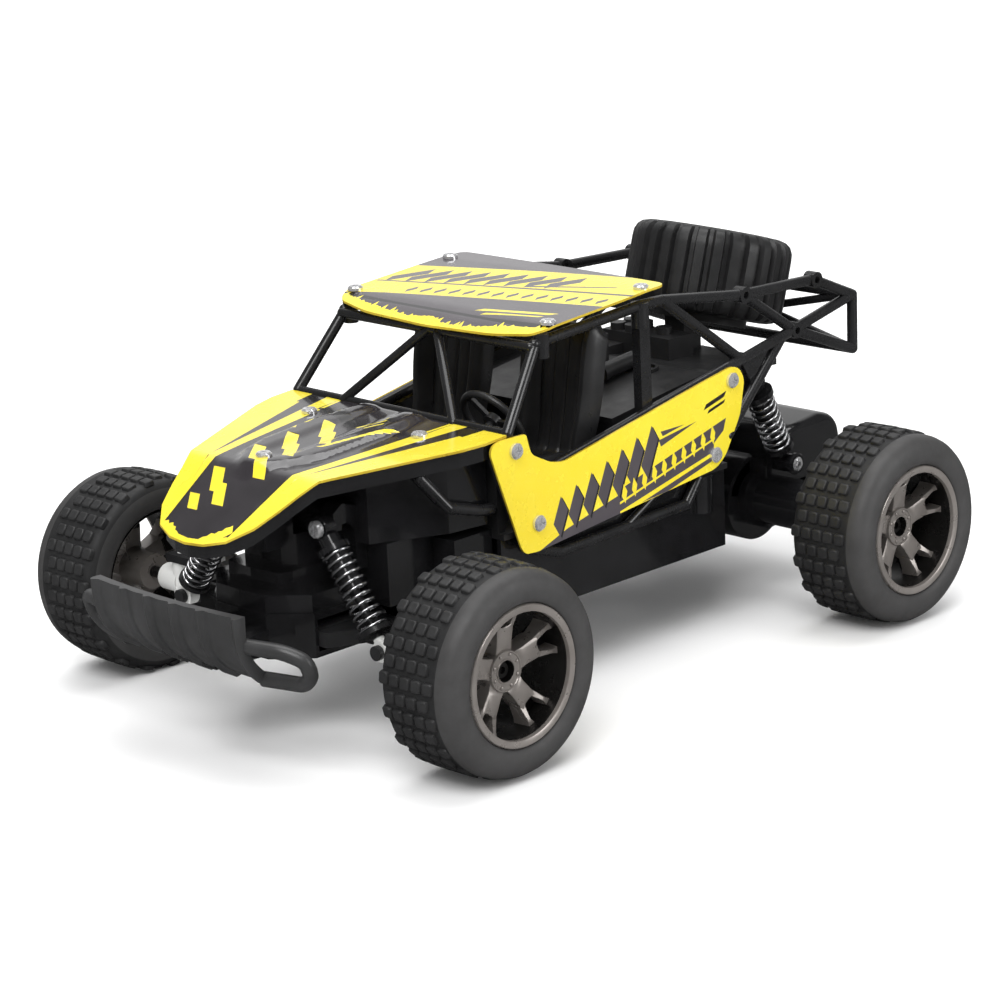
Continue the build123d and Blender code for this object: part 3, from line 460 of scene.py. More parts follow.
def rim_build(axle_y):
    """Flat-lipped barrel, studded hub and five spokes that fork before they reach the lip."""
    b = Build()
    lip = TYRE_OUT
    barrel = [(TYRE_IN + 1.0, 22.7), (lip - 2.0, 22.75), (lip - 1.2, 22.7), (lip - 0.85, 22.4),
              (lip - 0.85, 20.7), (lip - 1.1, 20.3), (lip - 2.4, 20.15), (lip - 4.2, 20.5),
              (lip - 10, 20.9), (lip - 28, 21.5), (lip - 30, 21.8)]
    verts, faces = lathe(barrel, axle_y, count=112)
    b.add(verts, faces, 0)
    n = len(barrel)
    for i in range(len(b.faces)):
        if i % n >= 6 or i % n == 0:
            b.ids[i] = 1
    face = HUB_FACE
    hub = [(face - 17, 2.06), (face - 4.0, 2.06), (face - 3.9, 3.45), (face - 0.3, 3.45), (face - 0.1, 3.65),
           (face - 0.1, 3.95), (face - 0.4, 4.15), (face - 0.4, 5.95), (face - 0.1, 6.15), (face - 0.1, 6.5),
           (face - 0.5, 6.75), (face - 7, 7.0), (face - 9, 6.4), (face - 17, 6.2)]
    verts, faces = lathe(hub, axle_y, count=64)
    b.add(verts, faces, 0)
    for i in range(len(hub) * 64):
        if i % len(hub) in (0, 1, 2):
            b.ids[len(b.ids) - len(hub) * 64 + i] = 1
    for i in range(STUD_COUNT):
        a = 2 * math.pi * (i + 0.5) / STUD_COUNT
        cy, cz = axle_y + 5.3 * math.cos(a), HUB_Z + 5.3 * math.sin(a)
        circle = [2 * math.pi * k / 12 for k in range(12)]
        dome = [[(face - 0.5 + h, cy + r * math.cos(q), cz + r * math.sin(q)) for q in circle]
                for h, r in ((0, 0.66), (0.4, 0.62), (0.62, 0.3))]
        b.add(*rings(dome), 0)
    for i in range(SPOKE_COUNT):
        put = place_axle(axle_y, math.radians(360 / SPOKE_COUNT * i + 18))
        spoke_skin(b, put, SPOKE, lambda r: face - 0.9 + 0.14 * (r - 6), face - 6.5)
        for sign in (-1, 1):
            prong = [(sign * t, r) for t, r in PRONG]
            spoke_skin(b, put, prong, lambda r: face - 0.1 + 0.30 * (r - 13.8), face - 5)
        spoke_skin(b, put, WEB, lambda r: face - 4.6 + 0.15 * (r - 13.5), face - 7.5, 1)
    return b


def wheels():
    plans = ((FRONT_Y, "front", ("front_wheel_left", "front_wheel_right")),
             (REAR_Y, "rear", ("rear_wheels", "rear_wheels")))
    for axle_y, label, bodies in plans:
        tyre, rim = tyre_build(axle_y), rim_build(axle_y)
        for side, body in zip(("left", "right"), bodies):
            t, r = (tyre, rim) if side == "left" else (tyre.mirrored(), rim.mirrored())
            name = f"{label}_tread_tyre_{side}"
            piece = t.object(name, [TREAD, WALL, BLOCKS], body, "tyre_rubber", sharp=50)
            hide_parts(f"{label}_tyre_{side}")
            piece = r.object(f"{label}_spoke_rim_{side}", [RIM, RIM_DARK], body, "rim_gunmetal", sharp=38)
            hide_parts(f"{label}_rim_{side}")


wheels()


# ---------------------------------------------------------------- printed sheet panels
BASE, GREY, BLACK, CUT = range(4)      # material slots of every printed sheet


def inside(points, polygon):
    """Which points (n, 2) lie inside the polygon."""
    x, y = points[:, 0], points[:, 1]
    hit = np.zeros(len(points), bool)
    n = len(polygon)
    for i in range(n):
        (x1, y1), (x2, y2) = polygon[i], polygon[(i + 1) % n]
        if y1 == y2:
            continue
        cross = (y1 > y) != (y2 > y)
        hit ^= cross & (x < (x2 - x1) * (y - y1) / (y2 - y1) + x1)
    return hit


def edge_distance(points, polygon):
    best = np.full(len(points), 1e9)
    n = len(polygon)
    for i in range(n):
        a, b = np.array(polygon[i], float), np.array(polygon[(i + 1) % n], float)
        d = b - a
        t = np.clip(((points - a) @ d) / max(d @ d, 1e-9), 0, 1)
        best = np.minimum(best, np.linalg.norm(points - (a + t[:, None] * d), axis=1))
    return best


def dense(polygon, step):
    out = []
    n = len(polygon)
    for i in range(n):
        a, b = Vector(polygon[i]), Vector(polygon[(i + 1) % n])
        count = max(1, int((b - a).length / step))
        out += [tuple(a.lerp(b, k / count)) for k in range(count)]
    return out


def round_corners(polygon, radius, steps=5):
    out = []
    n = len(polygon)
    for i in range(n):
        a, b, c = Vector(polygon[i - 1]), Vector(polygon[i]), Vector(polygon[(i + 1) % n])
        reach = min(radius, (a - b).length * 0.45, (c - b).length * 0.45)
        start, end = b + (a - b).normalized() * reach, b + (c - b).normalized() * reach
        out += [tuple(start * (1 - t) ** 2 + b * 2 * t * (1 - t) + end * t ** 2)
                for t in (k / steps for k in range(steps + 1))]
    return out


def slash(cx, cy, length, width, angle, cut=0.5):
    """A slanted bar: long axis at angle, ends cut askew."""
    c, s = math.cos(math.radians(angle)), math.sin(math.radians(angle))
    half, w = length / 2, width / 2
    corners = [(-half - cut * w, -w), (half - cut * w, -w), (half + cut * w, w), (-half + cut * w, w)]
    return [(cx + u * c - v * s, cy + u * s + v * c) for u, v in corners]


def torn(points, depth, step=1.1):
    """The same line with small irregular spikes, as a brushed print edge."""
    out = []
    for a, b in zip(points[:-1], points[1:]):
        a, b = Vector(a), Vector(b)
        count = max(1, int((b - a).length / step))
        side = Vector((-(b - a).y, (b - a).x)).normalized()
        for k in range(count):
            spike = rng.random() ** 3 * depth * (1 if k % 2 else -0.25)
            out.append(tuple(a.lerp(b, k / count) + side * spike))
    out.append(tuple(points[-1]))
    return out


def printed_sheet(outline, regions, place, grid=1.6, thick=SHEET):
    """A thin sheet cut to outline (u, v); each region is (material index, polygon) and the last one wins.
    place(points, height) turns sheet coordinates into space."""
    rim = dense(outline, 1.2)
    loops = [rim] + [dense(polygon, 3.0) for _, polygon in regions]
    pts, edges = [], []
    for loop in loops:
        start, n = len(pts), len(loop)
        pts += loop
        edges += [(start + k, start + (k + 1) % n) for k in range(n)]
    lo, hi = np.min(rim, axis=0), np.max(rim, axis=0)
    xs, ys = np.arange(lo[0], hi[0], grid), np.arange(lo[1], hi[1], grid)
    cells = np.array([(x + (j % 2) * grid / 2, y) for j, y in enumerate(ys) for x in xs])
    cells = cells[inside(cells, outline) & (edge_distance(cells, outline) > grid * 0.45)]
    pts += [tuple(c) for c in cells]
    verts, _, faces, _, _, _ = delaunay_2d_cdt([Vector(q) for q in pts], edges, [], 0, 1e-4)
    flat = np.array([tuple(v) for v in verts])
    tri = np.array([f for f in faces if len(f) == 3])
    mid = flat[tri].mean(axis=1)
    keep = inside(mid, outline)
    tri, mid = tri[keep], mid[keep]
    area = np.cross(flat[tri[:, 1]] - flat[tri[:, 0]], flat[tri[:, 2]] - flat[tri[:, 0]])
    tri = np.where((area < 0)[:, None], tri[:, ::-1], tri)
    ids = np.zeros(len(tri), int)
    for index, polygon in regions:
        ids[inside(mid, polygon)] = index
    used = sorted(set(tri.ravel()))
    where = {v: i for i, v in enumerate(used)}
    tri = [[where[v] for v in t] for t in tri]
    flat = flat[used]
    count = {}
    for a, b, c in tri:
        for e in ((a, b), (b, c), (c, a)):
            count[e] = True
    border = [e for e in count if (e[1], e[0]) not in count]
    top, bottom = place(flat, thick), place(flat, 0.0)
    build = Build()
    n = len(flat)
    build.verts = [tuple(v) for v in top] + [tuple(v) for v in bottom]
    for t, i in zip(tri, ids):
        build.faces.append(tuple(t))
        build.ids.append(int(i))
    for t in tri:
        build.faces.append((t[0] + n, t[2] + n, t[1] + n))
        build.ids.append(CUT)
    for a, b in border:
        build.faces.append((b, a, a + n, b + n))
        build.ids.append(CUT)
    return build


PAINTS = [YELLOW, CHARCOAL, INK, EDGE]
HOOD_PAINTS = [YELLOW, HOOD_INK, INK, EDGE]
HOOD_BARS = [(-3.0, -70.0, 15), (3.4, -75.6, 15), (-4.6, -84.6, 15), (1.8, -90.2, 15),
             (-4.8, -98.6, 14), (2.6, -103.6, 13), (-9.4, -112.0, 11), (-3.4, -116.6, 10)]
HOOD_HALF = [(51.6, -42), (51.6, -51.4), (49.6, -60), (31, -104.6), (28.2, -111), (25.8, -117.5),
             (22.4, -124.8), (16, -131.2), (8.2, -134), (0, -134.8)]


def two_sided(half):
    return list(half) + [(-x, y) for x, y in reversed(half) if x > 0]


def hood_height(points):
    """Folded sheet with a soft crease, plus the pressed centre with its rounded front bulge."""
    y = points[:, 1]
    fold = np.interp(y, [-140, -106.6, -105.4, -104.6, -103.6, -102, -40],
                     [65.9, 86.06, 86.74, 87.12, 87.24, 87.387, 91.85])
    press = two_sided([(15, -41), (17.5, -62), (16.8, -88), (13, -99), (8, -104.6), (4, -108), (0, -109)])
    depth = edge_distance(points, press) * np.where(inside(points, press), 1.0, -1.0)
    t = np.clip(depth / 3.2 + 0.15, 0, 1)
    raise_by = 2.0 * t * t * (3 - 2 * t) * np.clip((-40.2 - y) / 4, 0.25, 1)
    dish = two_sided([(8, -41), (9, -70), (8, -94), (4, -99), (0, -100)])
    inner = np.clip(edge_distance(points, dish) / 4.0, 0, 1) * inside(points, dish)
    return fold + raise_by - 0.9 * inner * inner * (3 - 2 * inner)


def hood_sheet():
    """Folded hood: dark core between yellow margins, side wedges, slanted bars and tick rows."""
    def place(points, height):
        return np.column_stack([points, hood_height(points) + height])

    core = two_sided([(25.6, -40.5), (23.6, -60), (20.2, -90), (18.0, -104.6), (14.8, -129.8), (8, -132.4),
                      (0, -133.2)])
    regions = [(GREY, core)]
    for s in (-1, 1):
        regions.append((GREY, [(s * 41.6, -40), (s * 34.2, -40), (s * 22.4, -104.6), (s * 19.0, -115.5)]))
        regions.append((BLACK, [(s * 41.6, -40), (s * 34.2, -40), (s * 33.2, -49), (s * 40.0, -50.5)]))
        line = [(s * 25.6, -40.5), (s * 23.6, -60), (s * 20.2, -90), (s * 18.0, -104.6), (s * 14.8, -129.8)]
        back = [(x + s * 0.7, y) for x, y in reversed(line)]
        regions.append((BLACK, line + back))
        regions.append((GREY, [(s * 27.6, -40), (s * 25.6, -60), (s * 27.0, -52)]))
    far_tear = torn([(-15.4, -129.6), (-10, -130.2), (-5.5, -132.6)], 1.7)
    near_tear = torn([(4.5, -132.6), (9, -129.6), (13.4, -125.6)], 1.9)
    regions.append((BASE, far_tear + [(-8, -135.6), (-16.4, -133)]))
    regions.append((BASE, near_tear + [(15.6, -128), (10, -134.2)]))
    regions += [(BLACK, slash(-11, -56.5, 30, 5.2, -24)), (BLACK, slash(8, -54, 9, 5, -75))]
    for x, y, length in HOOD_BARS:
        regions.append((BASE, slash(x, y, length, 4.2, -50, 0.8)))
    regions += [(BASE, slash(-11.0, -121.0, 7, 3.6, -50, 0.8)),
                (BASE, slash(-15.6, -68.5, 5.0, 2.2, 60, 1.0)),
                (BASE, slash(-15.0, -73.5, 3.0, 1.4, -50, 1.0))]
    for k in range(3):
        regions.append((BASE, slash(5.8 + 1.9 * k, -57.5 - 1.6 * k, 12 - 2.5 * k, 0.8, 70, 1.2)))
    for k in range(9):
        regions.append((BASE, slash(16.2 - 0.72 * k, -59.2 - 3.0 * k, 2.2, 2.4, 28, 1.2)))
    for k in range(4):
        regions.append((BLACK, slash(-19.5 + 0.8 * k, -62 - 14 * k, 6, 0.6, -76, 1.0)))
    sheet = printed_sheet(two_sided(HOOD_HALF), regions, place)
    piece = sheet.object("hood_printed", HOOD_PAINTS, CHASSIS, "yellow_sheet", 28)
    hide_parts("hood_panel")


def roof_sheet():
    """Nearly flat roof: a yellow sash over a dark field, bars and ticks along it, a brushed front edge."""
    def place(points, height):
        x, y = points[:, 0], points[:, 1]
        z = np.interp(y, [-28, -23, -21, -16, -14, 30, 41],
                      [118.2, 120.2, 121.05, 122.4, 122.7, 126.0, 126.4])
        return np.column_stack([points, z + height + 0.25 * (1 - (x / 49) ** 2)])

    outline = round_corners(two_sided([(48.6, 39.2), (49.3, 20), (49.3, -17), (46, -22.5), (30, -26),
                                       (0, -27.6)]), 4.0)
    lip = [(-51, -17.5), (-44, -19.8), (-34, -21.6), (-22, -23.4), (-10, -24.6), (0, -22.8), (6, -24.8),
           (14, -25.4), (24, -23.2), (34, -20.8), (42, -19.4), (51, -17.0)]
    regions = [(GREY, [(-60, -40), (60, -40), (60, 60), (-60, 60)]),
               (BASE, [(-60, 14.2), (20, 35.5), (60, 46), (60, 10.5), (-36, -14.5), (-60, -20.7)]),
               (BLACK, [(-60, -17.2), (-22, -18.6), (22, -18.4), (60, -15.2), (60, -20.0), (-60, -20.0)]),
               (BASE, torn(lip, 3.0, 0.9) + [(60, -40), (-60, -40)]),
               (GREY, [(-48, -2.6), (52, 23.2), (52, 21.4), (-48, -3.8)]),
               (GREY, [(8, 14.4), (38, 27.0), (38, 26.0), (8, 12.6)])]
    for k in range(9):
        regions.append((GREY, slash(-41.5 + 7.4 * k, 6.6 + 2.0 * k, 15.5 - 0.3 * k, 4.7, 58, 0.8)))
    for k in range(14):
        regions.append((GREY, slash(-27.0 + 5.5 * k, -6.6 + 1.43 * k, 4.8, 2.2, 74, 1.0)))
    regions += [(BASE, slash(27, -10.6, 28, 2.0, 15, 1.4)), (BASE, slash(28, -13.8, 22, 1.2, 15, 1.4))]
    piece = printed_sheet(outline, regions, place).object("roof_printed", PAINTS, CHASSIS, "yellow_sheet", 28)
    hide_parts("roof_panel")


DOOR = [(-34, 91.4), (-33.4, 88.6), (-32, 84), (-23, 79.5), (-17, 78.4), (48, 90.4), (67, 93.6), (71, 92.2),
        (73.5, 88), (71, 76), (63, 63), (58, 59.4), (-30, 51), (-36, 51.4), (-38, 53.5), (-50.5, 88),
        (-49.4, 90.6), (-46, 91.6)]


def door_sheets():
    """Yellow doors with a rising row of slanted bars over a dark band, mirrored left to right."""
    def place(points, height):
        return np.column_stack([np.full(len(points), WALL_X + height), points])

    band = [(7.5, 59.0), (9.5, 63.0), (63.5, 76.2), (62.0, 72.0), (57.0, 68.6), (56.6, 65.6), (9.0, 55.4)]
    regions = [(GREY, [(-31, 50.6), (-17, 55.4), (9, 61.2), (9.0, 54.2)]), (GREY, band),
               (GREY, [(19.5, 56.0), (57.0, 64.4), (57.4, 62.8), (33, 57.0)]),
               (BASE, [(9.0, 58.6), (57.6, 70.6), (57.4, 69.8), (9.0, 57.8)])]
    for k in range(7):
        x, z = -19.5 + 7.3 * k, 60.2 + 2.05 * k
        height = 9.5 + 0.75 * k
        for ink, dx, dz in ((BLACK, 0.7, -0.5), (GREY, 0, 0)):
            regions.append((ink, slash(x + dx, z + dz, height, 4.9, 66, 0.7)))
    regions += [(GREY, [(29, 75.6), (48.5, 78.2), (30, 73.2)]), (GREY, [(30, 78.4), (42, 78.4), (31, 76.6)])]
    for k in range(10):
        regions.append((BASE, slash(11.4 + 5.0 * k, 61.0 + 1.18 * k, 4.2, 2.3, 76, 1.0)))
    regions += [(BLACK, slash(58, 83.4, 11, 1.5, 14, 1.2)), (BLACK, slash(58.6, 81.2, 9, 1.0, 14, 1.2))]
    sheet = printed_sheet(round_corners(DOOR, 2.4, 4), regions, place)
    for side, build in (("left", sheet), ("right", sheet.mirrored())):
        piece = build.object(f"door_printed_{side}", PAINTS, CHASSIS, "yellow_sheet", 28)
        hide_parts(f"door_panel_{side}")


hood_sheet()
roof_sheet()
door_sheets()


# ---------------------------------------------------------------- coil springs
JOINTS = {j["name"]: j for j in frame["record"]["behaviour"]["joints"]}


def spring(end, side, collar, perch, turns):
    """Wire coil between the collar and the perch of one shock, laid along the shock's slide axis."""
    slide = JOINTS[f"{end}_shock_rod_{side}_slide"]
    top = Vector(JOINTS[f"{end}_shock_{side}_swing"]["pos_m"]) / MM
    axis = -Vector(slide["axis"]).normalized()
    across = axis.orthogonal().normalized()
    other = axis.cross(across)
    wire, mean, steps = 0.52, 4.55, 18
    start, stop = collar + 0.1 + wire, perch - 0.1 - wire
    path = []
    for k in range(int((turns + 1.4) * steps) + 1):
        turn = k / steps
        along = start + (stop - start) * min(1.0, max(0.0, (turn - 0.7) / turns))
        a = 2 * math.pi * turn
        path.append(top + axis * along + (across * math.cos(a) + other * math.sin(a)) * mean)
    b = Build()
    b.add(*tube(path, wire, 8))
    piece = b.object(f"{end}_coil_{side}", [SPRING], f"{end}_shock_{side}", "spring_steel", 60)
    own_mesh(piece)
    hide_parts(f"{end}_spring_{side}")


for wheel_side in ("left", "right"):
    spring("front", wheel_side, 9.0, 36.5, 10)
    spring("rear", wheel_side, 6.0, 28.1, 8)


# ---------------------------------------------------------------- seats
SEAT_X, SEAT_BASE_HALF = 26, 15
SEAT_LINE = [(-18.5, 66), (-20, 69.5), (-17.5, 72.6), (-8, 72.4), (1, 70.8), (5.6, 72.6), (7.6, 81),
             (9.4, 92), (11.2, 104), (12.6, 111), (14.6, 114.2), (17.4, 114.6), (19.8, 112)]


def seat_shell(cx):
    """Bucket seat: cushion and back in one sweep with raised, rounded bolsters and two stitched flutes."""
    path = rounded([(0, y, z) for y, z in SEAT_LINE], 5, 6)
    fronts, backs = [], []
    across = [k / 28 for k in range(-28, 29)]
    for i, (point, tangent, _, _) in enumerate(frames_along(path)):
        t = i / (len(path) - 1)
        normal = Vector((0, tangent.z, -tangent.y))
        half = 16.5 - 3.0 * smooth_step((t - 0.8) / 0.2) - 1.4 * smooth_step((0.12 - t) / 0.12)
        waist = 1.0 - 0.10 * math.exp(-((t - 0.48) / 0.08) ** 2)
        front, back = [], []
        for u in across:
            bolster = 4.4 * smooth_step((abs(u) - 0.58) / 0.22)
            bolster *= 1 - smooth_step((abs(u) - 0.88) / 0.12) * 0.5
            bolster *= smooth_step(t / 0.12) * (1 - smooth_step((t - 0.84) / 0.12))
            flute = -1.0 * math.exp(-((abs(u) - 0.56) / 0.05) ** 2)
            flute -= 0.6 * math.exp(-((abs(u) - 0.19) / 0.035) ** 2)
            flute += 0.5 * (1 - min(1.0, abs(u) / 0.56) ** 2)
            edge = -1.6 * smooth_step((abs(u) - 0.93) / 0.07)
            x = cx + u * half * waist
            front.append(Vector((x, point.y, point.z)) - normal * (bolster + flute + edge + 0.4))
            back.append(Vector((x, point.y, point.z)) + normal * (4.2 + edge * -0.6 - 1.6 * abs(u) ** 6))
        fronts.append(front)
        backs.append(back)
    sections = [f + b[::-1] for f, b in zip(fronts, backs)]
    b = Build()
    b.add(*rings(sections))
    return b


def seats():
    """Both seats, each on its own plain base."""
    for side, s in (("left", 1), ("right", -1)):
        b = seat_shell(s * SEAT_X)
        lo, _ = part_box(f"seat_{side}")
        left, right = s * SEAT_X - SEAT_BASE_HALF, s * SEAT_X + SEAT_BASE_HALF
        base = round_corners([(left, -18), (right, -18), (right, 11), (left, 11)], 4)
        b.add(*prism(base, lambda u, v, d: (u, v, d), lo.z / MM + 0.1, 69.5))
        piece = b.object(f"bucket_seat_{side}", [SEAT], CHASSIS, "black_satin", 40)
        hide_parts(f"seat_{side}")


seats()


# ---------------------------------------------------------------- spare tyre
SPARE_AT = Vector((0.8, 114.4, 112.2))
SPARE_R, SPARE_W, SPARE_TILT = 29.2, 31.0, 17.0
SPARE_RUBBER = tyre_rubber("spare_rubber", (0.012, 0.012, 0.0125), (0.020, 0.020, 0.0205), (0.36, 0.50))


def spare():
    """Tyre laid nearly flat: cross bars that wrap from the tread onto both walls, with deep gaps between."""
    turn = Matrix.Rotation(math.radians(-SPARE_TILT), 3, "X")
    half = SPARE_W / 2
    count, bars = 224, 28
    b = Build()
    profile = [(14, -half), (21, -half), (24.0, -half + 0.2), (26.4, -half + 0.9), (28.0, -half + 2.2),
               (SPARE_R - 0.2, -half + 4.4), (SPARE_R, -half + 7), (SPARE_R, -5), (SPARE_R, 0), (SPARE_R, 5),
               (SPARE_R, half - 7), (SPARE_R - 0.2, half - 4.4), (28.0, half - 2.2), (26.4, half - 0.9),
               (24.0, half - 0.2), (21, half), (14, half)]
    sections = []
    for i in range(count):
        a = 2 * math.pi * i / count
        t = abs((a / (2 * math.pi) * bars) % 1 - 0.5) * 2
        gap = smooth_step((t - 0.58) / 0.16)
        ring = []
        for r, z in profile:
            cut = 2.1 * gap * smooth_step((r - 25.0) / 2.6)
            ring.append(SPARE_AT + turn @ Vector(((r - cut) * math.cos(a), (r - cut) * math.sin(a), z)))
        sections.append(ring)
    b.add(*rings(sections, loop=True))
    piece = b.object("spare_block_tyre", [SPARE_RUBBER], CHASSIS, "tyre_rubber", 45)
    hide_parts("spare_tyre")


spare()


# ---------------------------------------------------------------- bumper
BUMPER_FRONT, BUMPER_BOW, BUMPER_X = -147.6, 271.0, 36.0
BUMPER_BACK, STRIP_STEPS, LOOP_R = 2.8, 32, 2.5
BEADS = (-19.0, -6.5, 6.0, 18.5)


def bumper():
    """Bowed plate of five hollow strips between four raised beads, with a rolled rim at each end."""
    section = rounded([(0, 0.9, 54), (0, 0.7, 45.7), (0, 3.35, 38.2), (0, 8.2, 32.8), (0, 15.3, 27.6)], 7, 5)
    frames = frames_along([(0, p.y, p.z) for p in section])
    edges = [-BUMPER_X, *BEADS, BUMPER_X]
    stations = []
    for a, c in zip(edges[:-1], edges[1:]):
        stations += [a + (c - a) * k / STRIP_STEPS for k in range(STRIP_STEPS)]
    stations.append(BUMPER_X)
    rows = []
    for x in stations:
        near = min(abs(x - bead) for bead in BEADS)
        rim = BUMPER_X - abs(x)
        depth = 1.4 * math.exp(-(near / 1.0) ** 2) + 0.4 * smooth_step((near - 1.5) / 4.0)
        depth += 1.7 * math.exp(-((rim - 1.3) / 1.3) ** 2) * smooth_step(rim / 0.9 + 0.3)
        angle = x / BUMPER_BOW
        front, back = [], []
        for i, (p, tangent, _, _) in enumerate(frames):
            n = Vector((0, -abs(tangent.z), -abs(tangent.y))).normalized()
            t = i / (len(frames) - 1)
            lip = 0.6 * math.exp(-(t / 0.06) ** 2) - 0.8 * smooth_step((t - 0.93) / 0.07)
            front.append(p + n * (depth + lip - 1.0))
            back.append(p - n * BUMPER_BACK)
        ring = []
        for p in front + back[::-1]:
            radius = BUMPER_BOW - p.y
            ring.append((radius * math.sin(angle), BUMPER_FRONT + BUMPER_BOW - radius * math.cos(angle), p.z))
        rows.append(ring)
    b = Build()
    b.add(*rings(rows), 0)
    for s in (-1, 1):
        loop = rounded([(s * 33, -141.2, 44), (s * 47, -137.0, 43.8), (s * 53, -133.4, 41),
                        (s * 53.4, -131.6, 36), (s * 49, -130.6, 31.8), (s * 33, -133.4, 31.2)], 5, 6)
        b.add(*tube(loop, LOOP_R, 16), 0)
    piece = b.object("bumper_strips", [BUMPER], CHASSIS, "bumper_plastic", 70)
    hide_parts("front_bumper")


bumper()


# ---------------------------------------------------------------- rear axle cover
def pillow(profile, x0, x1, radius, steps=6):
    """A side profile stretched along X, its two end edges rounded."""
    centre = Vector((sum(p[0] for p in profile) / len(profile), sum(p[1] for p in profile) / len(profile)))
    turns = [math.pi / 2 * k / steps for k in range(steps + 1)]
    plan = [(x0 + radius * (1 - math.cos(a)), radius * (1 - math.sin(a))) for a in turns]
    plan += [(x1 + x0 - x, d) for x, d in reversed(plan)]
    rows = []
    for x, inset in plan:
        ring = []
        for y, z in profile:
            d = (centre - Vector((y, z))).normalized()
            ring.append((x, y + d.x * inset, z + d.y * inset))
        rows.append(ring)
    return rings(rows)


def motor_hump():
    """The cover behind the axle tubes: a soft-edged box with a round drum across its front."""
    lo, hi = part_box("motor_cover")
    side = [(p.y, p.z) for p in rounded([(0, 104.2, 37.25), (0, 146.2, 37.25), (0, 146.4, 50), (0, 145, 55.2),
                                         (0, 141.5, 58.7), (0, 136, 60.4), (0, 116, 58.4), (0, 107.5, 52.0),
                                         (0, 104.2, 46)], 7, 6)]
    b = Build()
    b.add(*pillow(side, lo.x / MM + 0.05, hi.x / MM - 0.05, 3.4))
    half_drum = [(28, 8), (28, 14.2), (27.5, 15.3), (26.2, 15.9)]
    drum = [(-x, r) for x, r in half_drum] + half_drum[::-1]
    upper = []
    for k in range(49):
        a = math.radians(12 + 156 * k / 48)
        upper.append([(x, REAR_Y + r * math.cos(a), HUB_Z + r * math.sin(a)) for x, r in drum])
    b.add(*rings(upper))
    piece = b.object("motor_cover_shell", [GLOSS], "rear_axle", "black_gloss", 40)
    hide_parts("motor_cover")


motor_hump()


REAR_PIN = Vector((41.0, 108.0, 48.9))


def lower_screws():
    """Bright button heads on the lower pins of the rear shocks."""
    dome = [(46.0, 0.9), (46.0, 2.9), (46.5, 3.0), (47.2, 2.6), (47.8, 1.7), (48.0, 0.9), (46.9, 0.9)]
    left = Build()
    left.add(*lathe(dome, REAR_PIN.y, REAR_PIN.z, 32))
    for side, build in (("left", left), ("right", left.mirrored())):
        build.object(f"shock_button_{side}", [CHROME], "rear_axle", "chrome_screw", 40)


lower_screws()


EDGE_WIDTHS = {
    "front_bulkhead": 1.3, "axle_housing": 0.9, "chassis_tub": 0.8, "cockpit_body": 0.6, "nose_tray": 0.5,
    "engine_dummy": 0.6, "dashboard": 0.8, "front_arm_left": 0.4, "front_arm_right": 0.4,
    "knuckle_left": 0.4, "knuckle_right": 0.4,
}


def finish_pieces():
    for name, width in EDGE_WIDTHS.items():
        soften(frame["nodes"][name], width, 3)


finish_pieces()


# ---------------------------------------------------------------- CAD pieces kept: finishes
def dress():
    table = {
        "black_gloss": GLOSS, "black_satin": SATIN, "bumper_plastic": BUMPER, "cage_plastic": CAGE,
        "arm_plastic": SATIN, "yellow_sheet": YELLOW, "chrome_screw": CHROME, "white_nylon": NYLON,
        "tyre_rubber": TREAD, "rim_gunmetal": RIM, "shock_black": GLOSS, "rod_steel": STEEL,
        "spring_steel": SPRING, "gear_nylon": GEAR, "motor_can": CAN, "cell_wrap": WRAP,
    }
    slots = {s["node"]: s["material_slot"] for s in frame["record"]["subparts"]}
    for name, obj in frame["nodes"].items():
        for i in range(len(obj.data.materials)):
            obj.data.materials[i] = table[slots[name]]
        if not obj.data.materials:
            obj.data.materials.append(table[slots[name]])


def eyed_rod(side, s):
    """Black shock rod whose lower eye is a white bush."""
    shader = Shader(f"shock_rod_finish_{side}")
    gap = shader.add("ShaderNodeVectorMath", operation="DISTANCE")
    shader.link(shader.coord, gap.inputs[0])
    gap.inputs[1].default_value = (s * 0.048, -0.0961, 0.0336)
    eye = shader.remap(gap.outputs["Value"], 0.0046, 0.0050, 1, 0)
    shader.color(shader.blend(eye, (0.010, 0.010, 0.0105), (0.74, 0.74, 0.72)))
    shader.link(shader.remap(shader.noise(300, 4), 0.3, 0.7, 0.22, 0.40), shader.bsdf.inputs["Roughness"])
    shader.link(shader.bump(shader.noise(1600, 3), 0.3, 0.00003), shader.bsdf.inputs["Normal"])
    return shader.mat


def dress_rods():
    for side, s in (("left", 1), ("right", -1)):
        frame["nodes"][f"front_shock_rod_{side}"].data.materials[0] = eyed_rod(side, s)
        frame["nodes"][f"rear_shock_rod_{side}"].data.materials[0] = GLOSS
        frame["nodes"][f"wheel_bolt_{side}"].data.materials[0] = RIM_DARK
    frame["nodes"]["rear_shaft"].data.materials[0] = RIM_DARK


dress()
dress_rods()


# ---------------------------------------------------------------- studio
FLOOR_HALF = 4.0
SKY_DIM, SKY_BACK, SKY_FILL = 0.13, 0.72, 0.58
CAMERA_AZIMUTH, CAMERA_ELEVATION, CAMERA_ROLL = 45.43, 15.89, -2.41
CAMERA_TARGET, CAMERA_DISTANCE = (-6.8, 11.46, 48.57), 1105.5
CAMERA_LENS, CAMERA_SENSOR = 114.5, 36.0


